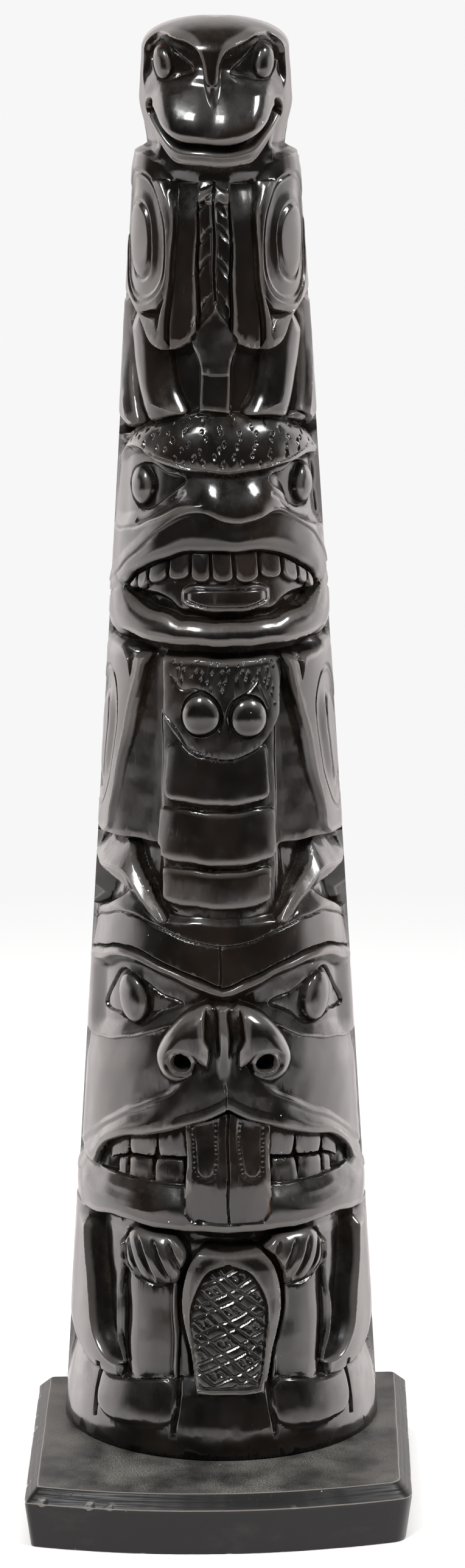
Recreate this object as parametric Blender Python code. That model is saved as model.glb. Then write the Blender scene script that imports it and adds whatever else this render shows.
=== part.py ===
# A carved stone totem pole on its own separate plinth.
# Metres, +Z up. The front faces -Y and the origin is the middle of the plinth's underside.

import bpy
import bmesh
import numpy as np

# Pole: a tapered stave with a rounded front and a flat back
POLE_HEIGHT = 0.3356
POLE_FOOT_WIDTH = 0.0754
POLE_TOP_WIDTH = 0.0334
FRONT_DEPTH_FOOT = 0.0347
FRONT_DEPTH_TOP = 0.0154
BACK_SLAB_FOOT = 0.0090
BACK_SLAB_TOP = 0.0065
SLAB_LIP = 0.0006
SLAB_CORNER = 0.0012
POLE_LEAN = -0.0013
CROWN_RISE = 0.0073

# Plinth: a block with a bowed front, a filed chamfer and walls that draw in to the underside.
# Its margins are what shows round the pole's foot.
PLINTH_THICKNESS = 0.0145
PLINTH_SIDE_MARGIN = 0.0074
PLINTH_FRONT_LEFT = 0.0181
PLINTH_FRONT_RIGHT = 0.0138
PLINTH_FRONT_BOW = 0.0064
PLINTH_BACK_LEFT = 0.0128
PLINTH_BACK_RIGHT = 0.0176
PLINTH_CHAMFER = 0.0030
PLINTH_CORNER = 0.0012
PLINTH_WORN_CORNER = 0.0028
PLINTH_DRAW_IN = 0.0013
PLINTH_BOW_STEPS = 12
ROUND_PROFILE = 0.5

# Clearance between the pole's foot and the plinth's top
SEAT_GAP = 0.0003

# The carving follows a drawing with its own scale: the foot of the pole is at height 14.8 and
# the crown at 350.4, and x runs to each side as on the unrolled front at the foot's width.
DRAWING_FOOT = 14.8
DRAWING_CROWN = 350.4
DRAWING_HALF_FOOT = 37.7
DRAWING_HALF_TOP = 16.7
CROWN_START = 341.6
CROWN_ROUNDNESS = 2.0
CROWN_CLOSING = 0.985

# Mesh density before and after the plain areas are thinned out
FRONT_COLUMNS = 132
BACK_COLUMNS = 16
SIDE_COLUMNS = 4
WALL_ROWS = 330
CROWN_ROWS = 12
KEEP_SHARE = 0.0895

STONE = (0.018, 0.016, 0.015, 1.0)
STONE_ROUGHNESS = 0.22
PLINTH_STONE = (0.022, 0.022, 0.023, 1.0)
PLINTH_ROUGHNESS = 0.42

# Heights of the figures' ground on the drawing: level at the middle of the front
MIDDLE_GROUND = (
    (14, 0.0), (22, 0.0), (30, -0.8), (34, -2.4), (60, -2.4), (66.5, -5.0), (69, -3.0), (71, 0.0), (76, 0.6),
    (80.5, 0.0), (118, 0.2), (125, -2.0), (128.5, -1.0), (136, -1.6), (143, -3.0), (147, -4.0), (160, -4.2),
    (204, -4.4), (207, -5.2), (209.5, -0.6), (218, -0.2), (230, -0.6), (238, 0.0), (246, -1.6), (253, -0.9),
    (261, -5.2), (274, -5.0), (277, -3.4), (309, -2.9), (315, -4.6), (317.5, -1.4), (320, -0.4), (352, -0.4))

# The same at the widest line, where the outline of the pole steps in between the figures
EDGE_GROUND = (
    (14, 0.0), (31, -0.6), (35, -0.2), (66, -0.4), (68, -1.6), (70, -0.4), (74, 0.0), (133, 0.0),
    (138, -0.6),
    (143, -2.2), (147, -4.2), (158, -4.2), (160.4, -0.2), (203, 0.1), (205.5, -0.4), (207.5, -1.8),
    (209.5, -0.4),
    (212, 0.2), (247, -0.4), (252, -1.4), (255.5, -3.0), (257, -2.6), (259, 0.0), (285, 0.2), (315.5, 0.0),
    (317.5, -0.4), (319.0, -3.2), (325, -2.0), (329, -1.3), (335, -0.8), (352, -0.6))


# The straight edge of the flat back, which draws in only beside the topmost head
BACK_GROUND = (
    (14, 0.0), (316.6, 0.0), (319.0, -3.2), (322, -2.7), (325, -2.0), (329, -1.3), (335, -0.8), (345, -0.5))


# Carving tools

def ramp(value, low, high):
    share = np.clip((value - low) / (high - low), 0.0, 1.0)
    return share * share * (3.0 - 2.0 * share)


def smooth_curve(points, closed=False, steps=6):
    knots = np.asarray(points, float)
    if closed:
        knots = np.vstack([knots[-1], knots, knots[0], knots[1]])
    else:
        knots = np.vstack([2 * knots[0] - knots[1], knots, 2 * knots[-1] - knots[-2]])
    t = (np.arange(steps) / steps)[:, None]
    spans = []
    for a, b, c, d in zip(knots[:-3], knots[1:-2], knots[2:-1], knots[3:]):
        bend = (2 * a - 5 * b + 4 * c - d) * t ** 2 + (3 * b - a - 3 * c + d) * t ** 3
        spans.append(0.5 * (2 * b + (c - a) * t + bend))
    path = np.vstack(spans)
    return path if closed else np.vstack([path, knots[-2]])


def line_over(x, *points):
    path = smooth_curve(points)
    return np.interp(x, path[:, 0], path[:, 1])


def to_outline(x, z, points, reach=8.0):
    # Signed distance to a smooth closed outline, negative inside
    ring = smooth_curve(points, closed=True)
    ends = np.roll(ring, -1, axis=0)
    low = ring.min(axis=0) - reach
    high = ring.max(axis=0) + reach
    near = (x > low[0]) & (x < high[0]) & (z > low[1]) & (z < high[1])
    result = np.full(x.shape, reach)
    px = x[near]
    pz = z[near]
    nearest = np.full(px.shape, reach ** 2)
    inside = np.zeros(px.shape, bool)
    for (ax, az), (bx, bz) in zip(ring, ends):
        ex = bx - ax
        ez = bz - az
        share = np.clip(((px - ax) * ex + (pz - az) * ez) / (ex * ex + ez * ez), 0, 1)
        nearest = np.minimum(nearest, (px - ax - share * ex) ** 2 + (pz - az - share * ez) ** 2)
        if az != bz:
            inside ^= ((az > pz) != (bz > pz)) & (px < ax + (pz - az) * ex / ez)
    distance = np.sqrt(nearest)
    result[near] = np.where(inside, -distance, distance)
    return result


def oval(x, z, centre, half_size, turn=0.0, power=2.0):
    # 0 at the centre of a turned superellipse and 1 on its rim
    angle = np.radians(turn)
    dx = x - centre[0]
    dz = z - centre[1]
    across = (dx * np.cos(angle) - dz * np.sin(angle)) / half_size[0]
    along = (dx * np.sin(angle) + dz * np.cos(angle)) / half_size[1]
    return (np.abs(across) ** power + np.abs(along) ** power) ** (1 / power)


def cap(rim):
    return np.sqrt(np.clip(1 - rim * rim, 0, 1))


def above(z, line, edge=0.35):
    return ramp(z - line, -edge, edge)


def below(z, line, edge=0.35):
    return 1 - ramp(z - line, -edge, edge)


def cut_to(level, mask, target):
    return level + (target - level) * mask


def ground(angle, z):
    middle = np.interp(z, *np.array(MIDDLE_GROUND).T)
    edge = np.interp(z, *np.array(EDGE_GROUND).T)
    share = ramp(np.abs(angle), np.radians(38), np.radians(74))
    return middle * (1 - share) + edge * share


# Top figure

def top_head(level, x, z):
    u = np.abs(x + 0.5)
    chin = line_over(
        u, (0, 316.6), (6.5, 316.9), (9.6, 317.5), (13.2, 320.8), (16.2, 324.8), (18.6, 327.6),
        (24, 329))
    mouth = line_over(
        u, (0, 321.7), (5.4, 321.8), (8.6, 323), (12.4, 325.7), (15.2, 328.9), (18.4, 330.4), (24, 331))
    brow = line_over(
        u, (0, 334.5), (1.6, 337), (3.2, 341.8), (6, 343.4), (10.5, 344.6), (19, 346), (26, 347))
    socket_floor = line_over(u, (0, 335.2), (4, 335.2), (9, 334.4), (14, 333.8), (26, 334))
    face_width = below(u, 17.8, 1.4)

    neck = below(z, chin, 0.8) * above(z, 314, 0.8) * below(u, 17, 3)
    level = cut_to(level, neck, -4.4 + 0.09 * u)
    skull_side = above(u, 17, 1.5) * above(z, 320.2, 0.8)
    level = cut_to(level, skull_side, -0.6 - 2.6 * ramp(331 - z, 0, 11))
    jaw = above(z, chin) * below(z, mouth) * face_width
    level = cut_to(level, jaw, 0.5 - 0.035 * u - 0.9 * ramp(z - chin, 2.6, 4.4))
    lip = above(z, mouth) * below(z, mouth + 9.5, 2.5) * face_width
    level = cut_to(level, lip, 0.6 - 0.02 * u)
    lobes = cap(oval(u, z, (5.9, 330.0), (8.6, 7.2)))
    level = level + 1.45 * lobes * above(z, mouth)
    socket = below(z, brow) * above(z, socket_floor, 1.4) * below(u, 20.3, 1.1)
    level = cut_to(level, socket, -3.3 + 1.6 * ramp(u, 6, 17))
    nose_ridge = below(u, 1.5, 0.5) * above(z, 323.8, 1.2) * below(z, brow + 3, 1)
    level = cut_to(level, nose_ridge, 0.8 - 0.5 * ramp(z, 330, 342))
    forehead = above(z, brow)
    level = cut_to(level, forehead, -0.1 - 0.5 * ramp(u, 10, 20))
    eye = oval(u, z, (14.9, 339.5), (3.3, 4.2), 20)
    return cut_to(level, below(eye, 0.99, 0.05), -2.2 + 1.5 * cap(eye))


def top_wings(level, x, z):
    u = np.abs(x + 0.4)
    belly = line_over(
        z, (256, 3.9), (262, 3.9), (271, 4.1), (276.8, 6.2), (281, 3.6), (286.2, 0.0), (320, 0.0))
    feather_ends = line_over(
        u, (0, 279), (6.8, 276.7), (9.4, 275.6), (12.2, 275.2), (16, 276.9), (20, 282), (36, 289))
    wing_edge = line_over(
        z, (250, 12.2), (286, 11.6), (293, 10.8), (302, 10.4), (308, 10.9), (313.5, 13.4), (319.6, 19.5),
        (330, 28))

    strip = below(u, 4.7) * above(z, 280, 1) * below(z, 313.2, 0.8)
    level = cut_to(level, strip, -2.6)
    feathers = above(u, 5.1) * below(u, 11.7, 0.5) * below(z, 312, 3) * above(z, feather_ends)
    level = cut_to(level, feathers, -1.5 - 0.04 * u)
    low = below(z, feather_ends) * above(z, 253.5, 1.5)
    level = cut_to(level, low * above(u, belly + 0.6, 0.6), -5.4)
    spear = below(u, belly) * below(z, 286.2, 0.4)
    level = cut_to(level, spear, -2.9 - 0.02 * u * u)
    leg = to_outline(u, z, (
        (28.6, 281), (27.6, 273.5), (24.2, 264.6), (20, 257.6), (14.6, 257.8), (7.2, 260.6), (10.5, 266),
        (12.6, 272), (14, 279), (20, 287)))
    round_leg = -5.2 + 5.4 * np.clip(-leg / 7.5, 0, 1) ** 0.6
    level = cut_to(level, low * below(leg, 0), round_leg)
    wing_tip = to_outline(
        u, z, ((28.2, 285), (29.2, 275), (26, 264.5), (22, 257.5), (25, 256), (36, 258), (40, 270),
        (38, 285)))
    round_tip = -2.6 + 2.9 * np.clip(-wing_tip / 3.2, 0, 1) ** 0.6
    level = cut_to(level, low * below(wing_tip, 0) * above(leg, 0.3), round_tip)
    wing = above(u, wing_edge) * above(z, feather_ends) * below(z, 319.4, 0.9)
    level = cut_to(level, wing, 0.25 - 0.5 * ramp(z, 314, 319))
    ring = oval(u, z, (21.6, 300.0), (9.0, 14.6), 10, 2.25)
    level = level - 0.75 * below(ring, 0.94, 0.05) * above(ring, 0.58, 0.14)
    notch = np.maximum(np.abs(u - 15.4) / 4.0, np.abs(z - 283.6) / 3.6)
    return level - 1.2 * below(notch + 0.6 * (u - 15.4) / 4.0 * (z - 283.6) / 3.6, 0.7, 0.25)


# Middle figure

def wide_head(level, x, z):
    u = np.abs(x - 2.6)
    n = np.abs(x - 5.0)
    dome_top = 261.3 - 0.0062 * u * u
    brow = line_over(
        u, (0, 248.2), (4.5, 248.4), (14, 250.2), (19, 251.6), (25, 252.0), (32, 250.6), (42, 247),
        (60, 243))
    under_eye = line_over(
        u, (0, 240.6), (7, 241.2), (16.4, 237.8), (24, 234.4), (31, 232.7), (38, 232.2), (60, 233))
    fold = line_over(
        n, (0, 236.6), (4, 237.1), (8.3, 238.6), (12, 238.2), (18, 234.9), (28, 227.3), (34, 223),
        (60, 214))
    lip_edge = line_over(
        u, (0, 229.7), (6, 229.6), (11.7, 229.0), (16.5, 227.5), (21, 225.5), (28.2, 220.4), (60, 212))
    lower_edge = line_over(
        u, (0, 213.6), (11.5, 213.6), (15, 214.8), (21, 215.6), (26, 217.2), (31, 221), (60, 236))
    gum = line_over(u, (0, 215.6), (11, 215.6), (15.5, 217.9), (20, 219.1), (28, 218.6), (60, 216))
    chin = line_over(u, (0, 208.3), (15, 208.3), (21, 208.8), (34, 210.4), (60, 214))

    over = np.clip((z - dome_top + 9.5) / 9.5, 0, 1)
    skull = above(z, brow) * below(z, dome_top - 0.4, 0.5)
    level = cut_to(level, skull, 0.1 - 5.6 * (1 - np.sqrt(1 - over ** 2.6)))
    socket = below(z, brow - 0.7, 0.9) * above(z, under_eye, 0.6)
    level = cut_to(level, socket, -3.2 + 1.5 * ramp(u, 15, 34))
    cheek = below(z, under_eye, 0.6) * above(z, fold)
    level = cut_to(level, cheek, 0.5 - 0.5 * ramp(z - fold, 0.5, 4))
    nose = cap(oval(n, z, (0, 241.2), (14.5, 7.6), 0, 2.3))
    level = np.where(z > fold, np.maximum(level, -2.6 + 4.6 * nose), level)
    lip_share = np.clip((fold - z) / np.maximum(fold - lip_edge, 1.0), 0, 1)
    level = cut_to(level, below(z, fold) * above(z, lip_edge), -1.6 + 1.9 * ramp(lip_share, 0, 0.75))
    mouth = below(z, lip_edge) * above(z, lower_edge) * below(u, 29, 0.6)
    level = cut_to(level, mouth, -4.2)
    level = cut_to(level, mouth * above(z, gum), -2.8)
    teeth = mouth * above(z, 222.4 - 0.004 * u * u) * below(u, 27.5, 0.6)
    level = cut_to(level, teeth, -1.5)
    tongue = oval(x, z, (2.3, 219.1), (11.6, 3.15), 0, 3.2)
    level = cut_to(level, below(tongue, 0.97, 0.06), -1.3)
    roll_share = np.clip((z - chin) / np.maximum(lower_edge - chin, 1), 0, 1)
    roll = below(z, lower_edge) * above(z, chin) * below(u, 35, 5)
    level = cut_to(level, roll, -0.6 + 1.3 * np.sin(np.pi * (roll_share * 0.86 + 0.12)))
    under_chin = below(z, chin) * above(z, 205.3, 0.8) * below(u, 26, 4)
    level = cut_to(level, under_chin, -5.2)
    eye = oval(u, z, (25.2, 243.3), (4.3, 4.4), 12)
    return cut_to(level, below(eye, 0.99, 0.05), -2.6 + 2.1 * cap(eye))


def ringed_body(level, x, z):
    u = np.abs(x + 0.9)
    fin_edge = line_over(
        z, (140, 36), (160.5, 34.4), (163, 31.2), (168, 30), (179, 26.5), (190.5, 23), (198, 20.5),
        (210, 17))
    fin = above(u, fin_edge) * above(z, 161.2 - 0.035 * (u - 30), 0.4) * below(z, 206.3, 0.9)
    level = cut_to(level, fin, 0.15 - 0.5 * ramp(z, 203, 207))
    ring = oval(u, z, (36.8, 183.4), (7.8, 17.6), -15, 2.4)
    level = level - 0.7 * below(ring, 0.93, 0.05) * above(ring, 0.62, 0.13) * fin

    k = np.abs(x - 1.1)
    head_width = line_over(
        z, (140, 0), (181.6, 0.5), (182.2, 4.8), (183.6, 8.8), (186.6, 12.4), (189.6, 14.9),
        (192.4, 16.2), (210, 16.2))
    head = below(k, head_width) * below(z, 206, 0.4) * above(z, 181.6, 0.3)
    level = cut_to(level, head, -1.8 - 0.004 * k * k)
    for eye_x in (-4.3, 7.5):
        eye = np.hypot(x - eye_x, z - 191.8) / 4.9
        level = cut_to(level, below(eye, 0.95, 0.05), -1.9 + 2.3 * cap(eye))
    body = below(np.abs(x), 15.8, 0.6) * below(z, 183, 0.5) * above(z, 144.5, 1) * (1 - head)
    level = cut_to(level, body, -3.3 - 0.0035 * x * x)
    for low, high in ((170.9, 182.2), (157.4, 169.3), (146.9, 155.6)):
        share = np.abs(z - 0.0025 * x * x - (low + high) / 2) / ((high - low) / 2)
        band = below(share, 0.965, 0.04) * below(np.abs(x), 15.3, 0.7) * (1 - head)
        level = cut_to(level, band, -1.3 - 0.0065 * x * x - 0.55 * np.clip(share, 0, 1) ** 4)
    return level


def ears(level, x, z):
    u = np.abs(x - 0.7)
    ear = to_outline(
        u, z, ((50, 157), (31.2, 160.2), (25.4, 155.6), (19, 149.8), (14.2, 143.9), (18.2, 143.6),
        (24.6, 146.9), (38.6, 152.2), (52, 153)))
    crease = line_over(
        u, (10, 139), (16.2, 144.8), (22.6, 150.4), (27.6, 153.4), (40, 153.2), (52, 154.6))
    head_top = line_over(u, (10, 143), (20, 146.5), (27.7, 148.2), (34, 144.8), (44, 141), (60, 136))
    blade = below(ear, 0)
    hollow = above(u, 18, 2) * below(z, 160.2, 0.8) * above(z, head_top + 0.7, 0.7) * (1 - blade)
    level = cut_to(level, hollow, -5.2)
    return cut_to(level, blade, 0.1 - 0.55 * np.abs(z - crease))


# Lower figure, a beaver

def beaver_head(level, x, z):
    u = np.abs(x - 0.8)
    v = np.abs(x - 2.0)
    n = np.abs(x - 1.1)
    hairline = line_over(
        u, (0, 128.4), (5.5, 130.2), (12.5, 132.5), (20, 134.9), (27, 135.4), (37, 133.5), (60, 127))
    brow = line_over(
        u, (0, 126.6), (3, 127.2), (7, 128.8), (13, 131.2), (20, 133.2), (27.5, 133.7), (36, 131.6),
        (60, 124))
    socket_floor = line_over(
        u, (0, 119), (10, 119.5), (18, 116.8), (23, 114.8), (29, 113.2), (42, 111.4), (60, 111))
    crease = line_over(u, (0, 108), (8, 105.2), (14, 102), (21, 98.2), (30, 93.4), (40, 87.8), (60, 78))
    lip_edge = line_over(
        v, (0, 99.6), (4, 97.6), (10.5, 94.8), (16.5, 92.9), (24.5, 91), (31.5, 88.4), (38.6, 81.6),
        (60, 70))
    mouth_floor = line_over(v, (0, 80.4), (24, 80.5), (36, 80.9), (60, 82.4))
    chin = line_over(v, (0, 70.0), (10, 69.9), (30, 70.8), (40, 69.6), (60, 68))

    forehead = above(z, hairline) * below(z, 145.5, 1.5)
    level = cut_to(level, forehead, -1.0 - 0.9 * ramp(z, 134, 143) + 0.5 * ramp(u, 12, 30))
    socket = below(z, brow - 1.2, 1.4) * above(z, socket_floor, 0.5)
    socket_rise = 1.4 * ramp(socket_floor + 4.5 - z, 0, 4.5)
    level = cut_to(level, socket, -3.6 + 1.3 * ramp(u, 14, 34) + socket_rise)
    cheek = below(z, socket_floor, 0.4) * above(z, crease + 0.5, 1) * above(u, 11.5, 3)
    level = cut_to(level, cheek, -2.0 + 1.0 * ramp(u, 24, 44) + 0.5 * ramp(socket_floor - z, 0, 9))
    lip_share = np.clip((z - lip_edge) / np.maximum(crease - lip_edge, 1), 0, 1)
    lip = below(z, crease, 0.9) * above(z, lip_edge)
    level = cut_to(level, lip, 0.3 - 1.1 * ramp(lip_share, 0.35, 1.0) * ramp(u, 6, 20))
    mouth = below(z, lip_edge) * above(z, mouth_floor) * below(v, 38.2, 0.6)
    level = cut_to(level, mouth, -3.4)
    middle_line = line_over(v, (0, 87), (10, 86.9), (20, 86.4), (30, 84.8), (38, 81.8), (60, 72))
    for tooth, half_width in ((14.0, 4.6), (23.3, 4.1), (31.8, 3.8)):
        column = below(np.abs(v - tooth), half_width, 0.3)
        level = cut_to(level, mouth * column * (1 - np.exp(-((z - middle_line) / 0.8) ** 2)), -2.0)
    roll_share = np.clip((z - chin) / np.maximum(mouth_floor - chin, 1), 0, 1)
    roll = below(z, mouth_floor) * above(z, chin)
    level = cut_to(level, roll, -0.5 + 1.2 * np.sin(np.pi * (roll_share * 0.8 + 0.12)) * below(v, 46, 6))
    under_chin = below(z, chin) * above(z, 65.8, 1) * below(v, 41, 7)
    level = cut_to(level, under_chin, -4.8)

    scroll = to_outline(n, z, (
        (3.0, 124.0), (8.6, 122.6), (13.4, 118.4), (16.1, 112.4), (14.8, 107.8), (10.9, 105.9), (7.4, 107.4),
        (5.6, 110.2), (3.2, 110.2), (2.6, 117)))
    round_nostril = -0.4 + 3.4 * np.clip(-scroll / 4.2, 0, 1) ** 0.6 - 0.8 * ramp(z, 117, 124)
    level = cut_to(level, below(scroll, 0), round_nostril)
    nostril = np.hypot(n - 9.3, z - 110.9)
    level = cut_to(level, below(nostril, 2.0, 0.5), -2.6)
    bridge = below(n, 1.2, 0.4) * above(z, 112, 2) * below(z, 124.2, 0.6)
    level = cut_to(level, bridge, 1.4 - 1.0 * ramp(z, 120, 124))

    w = np.abs(x - 2.1)
    tooth_top = line_over(w, (0, 99.2), (5, 97.2), (10, 95.2), (60, 76))
    tooth_foot = 72.4 + 1.8 * ramp(w, 8.2, 10.2)
    incisors = below(w, 10.1, 0.3) * above(z, tooth_foot, 0.25) * below(z, tooth_top, 0.25)
    level = cut_to(level, incisors, 0.9 - 0.004 * w * w)
    split = np.exp(-(w / 0.7) ** 2) * above(z, 73) * below(z, 98)
    level = level - 0.8 * split
    eye = oval(np.abs(x - 1.9), z, (26.4, 123.5), (4.9, 6.0), 22)
    return cut_to(level, below(eye, 0.99, 0.05), -2.5 + 1.9 * cap(eye))


def beaver_body(level, x, z):
    u = np.abs(x - 1.2)
    under = line_over(
        u, (0, 33), (14, 33.4), (20, 32.6), (26, 31.6), (33, 31.6), (44, 34.2), (54, 37.4), (62, 38))
    haunch = above(z, under) * above(u, 11.8, 0.6) * below(z, 67.2, 1.2)
    level = cut_to(level, haunch, 0.2 - 0.9 * np.exp(-np.clip(z - under, 0, 9) / 1.6))
    hollow = to_outline(u, z, (
        (42, 63), (39, 50), (36.8, 40.5), (32, 35.6), (25.8, 35.4), (27.6, 42), (28, 49.5), (25.6, 58),
        (28, 65), (36, 67)))
    level = cut_to(level, ramp(-hollow, -0.4, 3.2), -4.4)
    shin = below(u, 27.3, 0.9) * above(u, 12.5, 0.9) * above(z, under) * below(z, 59.5, 1.5)
    shin = shin * above(hollow, 0.1, 0.3)
    level = cut_to(level, shin, -0.2 - 2.6 * ((u - 19.8) / 8) ** 2)
    paw = oval(u, z, (17.4, 62.6), (9.4, 6.6), -6, 2.4)
    paw_mask = below(paw, 0.96, 0.06)
    level = cut_to(level, paw_mask, -1.6 + 3.0 * cap(paw))
    finger_place = (u - 17.4) - 0.42 * (z - 62.6)
    for finger_gap in (-6.2, -2.2, 1.8, 5.8):
        groove = np.exp(-((finger_place - finger_gap) / 0.8) ** 2)
        level = level - 0.9 * groove * paw_mask * ramp(66.2 - z, 0, 3)

    w = np.abs(x - 2.9)
    tail_width = line_over(
        z, (10, 8), (30.5, 8.1), (40, 9.8), (46, 11.2), (54, 12), (60, 10.9), (64.4, 8.2), (66.8, 4.4),
        (67.6, 0.4), (80, 0))
    tail_ground = below(w, tail_width + 0.9, 0.8) * above(z, 34, 1) * below(z, 67, 1)
    level = cut_to(level, tail_ground, -4.0)
    tail = below(w, tail_width) * above(z, 30.7) * below(z, 67.6, 0.4)
    level = cut_to(level, tail, 0.5 - 3.6 * np.clip((z - 60) / 7.6, 0, 1) ** 2.2)
    panel_width = line_over(
        z, (10, 7), (32.2, 7.2), (42, 8.6), (48, 9.0), (53, 8.5), (57.6, 6.8), (60.6, 4.4), (62.4, 0.3),
        (80, 0))
    panel = below(np.abs(x - 2.2), panel_width) * above(z, 32.2) * below(z, 62.4)
    level = cut_to(level, panel, -0.2 - 1.0 * np.clip((z - 57) / 6, 0, 1) ** 2)

    foot_drum = below(z, under, 0.4) * above(u, 10, 1)
    level = cut_to(level, foot_drum, np.interp(z, (14, 22, 27, 31, 34), (0.0, -0.1, -0.6, -1.3, -1.9)))
    toes = cap(oval(u, z, (23.6, 27.5), (12.2, 7.0), 0, 2.6))
    level = level + 0.9 * toes * foot_drum
    for toe_edge in (11.6, 35.6):
        groove = np.clip(1 - np.abs(u - toe_edge - 0.08 * (27 - z)) / 1.1, 0, 1)
        level = level - 0.8 * groove * above(z, 21, 0.6) * foot_drum
    return level


# Each carving with the lowest and highest height that it reaches on the drawing
FIGURES = (
    (beaver_body, 0, 70),
    (beaver_head, 62, 152),
    (ringed_body, 141, 209),
    (ears, 141, 165),
    (wide_head, 203, 262),
    (top_wings, 250, 322),
    (top_head, 313, 360))


def carved_level(angle, z):
    # Height of the carved surface above the plain stave, in the drawing's units
    half_width = np.interp(z, (DRAWING_FOOT, DRAWING_CROWN), (DRAWING_HALF_FOOT, DRAWING_HALF_TOP))
    x = angle * half_width
    level = ground(angle, z)
    for carve, low, high in FIGURES:
        rows = (z[:, 0] > low) & (z[:, 0] < high)
        level[rows] = carve(level[rows], x[rows], z[rows])
    return level


# Building

def clear_scene():
    for old in list(bpy.data.objects):
        bpy.data.objects.remove(old, do_unlink=True)


def stone_material(name, colour, roughness):
    material = bpy.data.materials.new(name)
    material.use_nodes = True
    shader = material.node_tree.nodes["Principled BSDF"]
    shader.inputs["Base Color"].default_value = colour
    shader.inputs["Roughness"].default_value = roughness
    shader.inputs["Metallic"].default_value = 0.0
    return material


def add_to(collection, name, mesh, material):
    obj = bpy.data.objects.new(name, mesh)
    mesh.materials.append(material)
    collection.objects.link(obj)
    mesh.shade_smooth()
    mesh.set_sharp_from_angle(angle=np.radians(40))
    return obj


def stave_sizes(share):
    # Half width, front depth, slab depth and sideways drift at a share of the pole's height
    half_width = (POLE_FOOT_WIDTH + (POLE_TOP_WIDTH - POLE_FOOT_WIDTH) * share) / 2
    front = FRONT_DEPTH_FOOT + (FRONT_DEPTH_TOP - FRONT_DEPTH_FOOT) * share
    slab = BACK_SLAB_FOOT + (BACK_SLAB_TOP - BACK_SLAB_FOOT) * share
    return half_width, front, slab, POLE_LEAN * share ** 2


def section_columns():
    # Each column is an angle on the front, or a place round the slab as (across, back)
    angles = np.linspace(-np.pi / 2, np.pi / 2, FRONT_COLUMNS)
    side = np.linspace(0, 1, SIDE_COLUMNS)
    back = np.linspace(1, -1, BACK_COLUMNS + 2)[1:-1]
    slab = [(1.0, depth) for depth in side] + [(across, 1.0) for across in back]
    slab += [(-1.0, depth) for depth in side[::-1]]
    return angles, np.array(slab)


def pole_points():
    # Rows of points round the pole, from the foot up the wall and over the crown
    unit = POLE_HEIGHT / (DRAWING_CROWN - DRAWING_FOOT)
    angles, slab_places = section_columns()
    wall = np.linspace(DRAWING_FOOT, CROWN_START, WALL_ROWS)
    closing = np.sin(np.linspace(0, 1, CROWN_ROWS + 1)[1:] * np.pi / 2) * CROWN_CLOSING
    drawn = np.concatenate([wall, np.full(CROWN_ROWS, CROWN_START)])
    shrink = np.concatenate([np.ones(WALL_ROWS), (1 - closing ** CROWN_ROUNDNESS) ** (1 / CROWN_ROUNDNESS)])
    rise = np.concatenate([np.zeros(WALL_ROWS), closing * CROWN_RISE])

    angle, height = np.meshgrid(angles, drawn)
    share = (height - DRAWING_FOOT) / (DRAWING_CROWN - DRAWING_FOOT)
    half_width, front, slab, drift = stave_sizes(share)
    drawn_height = height + (rise / unit)[:, None]
    level = carved_level(angle, drawn_height) * unit
    front_x = (half_width + level) * np.sin(angle)
    front_y = -(front + level) * np.cos(angle)

    across, depth = slab_places[:, 0], slab_places[:, 1]
    drawn_in = np.interp(drawn, *np.array(BACK_GROUND).T)[:, None] * unit
    slab_half = half_width[:, :1] + drawn_in - SLAB_CORNER * (depth == 1.0) * (np.abs(across) == 1.0)
    slab_x = slab_half * across
    slab_y = SLAB_LIP + (slab[:, :1] - SLAB_LIP) * depth

    x = np.hstack([front_x, slab_x]) * shrink[:, None] + drift[:, :1]
    y = np.hstack([front_y, slab_y]) * shrink[:, None]
    z = (share[:, :1] * POLE_HEIGHT + rise[:, None]) * np.ones_like(x)
    return np.stack([x, y, z], axis=-1)


def build_pole(collection):
    points = pole_points()
    rows, columns = points.shape[:2]
    mesh = bpy.data.meshes.new("pole")
    shape = bmesh.new()
    bmesh.ops.create_grid(shape, x_segments=columns, y_segments=rows - 1, size=1)
    shape.verts.ensure_lookup_table()
    wrapped = np.concatenate([points, points[:, :1]], axis=1).reshape(-1, 3)
    for vert, place in zip(shape.verts, wrapped):
        vert.co = place
    bmesh.ops.remove_doubles(shape, verts=shape.verts, dist=1e-6)
    rims = [edge for edge in shape.edges if edge.is_boundary]
    caps = bmesh.ops.holes_fill(shape, edges=rims, sides=0)["faces"]
    bmesh.ops.triangulate(shape, faces=caps)
    bmesh.ops.recalc_face_normals(shape, faces=shape.faces)
    shape.to_mesh(mesh)
    shape.free()
    pole = add_to(collection, "pole", mesh, stone_material("pole_stone", STONE, STONE_ROUGHNESS))
    middle_x, middle_y = plinth_middle()
    pole.location = (-middle_x, -middle_y, PLINTH_THICKNESS + SEAT_GAP)
    thin = pole.modifiers.new("Thin out plain areas", "DECIMATE")
    thin.ratio = KEEP_SHARE
    thin.use_collapse_triangulate = True
    return pole


def plinth_outline():
    # Round the plinth from its front left corner, as seen from the middle of the pole's widest line
    right = POLE_FOOT_WIDTH / 2 + PLINTH_SIDE_MARGIN
    outline = []
    for share in np.linspace(0, 1, PLINTH_BOW_STEPS + 1):
        margin = PLINTH_FRONT_LEFT + (PLINTH_FRONT_RIGHT - PLINTH_FRONT_LEFT) * share
        margin += PLINTH_FRONT_BOW * (1 - (2 * share - 1) ** 2)
        outline.append((right * (2 * share - 1), -FRONT_DEPTH_FOOT - margin))
    outline.append((right, BACK_SLAB_FOOT + PLINTH_BACK_RIGHT))
    outline.append((-right, BACK_SLAB_FOOT + PLINTH_BACK_LEFT))
    return np.array(outline)


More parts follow.
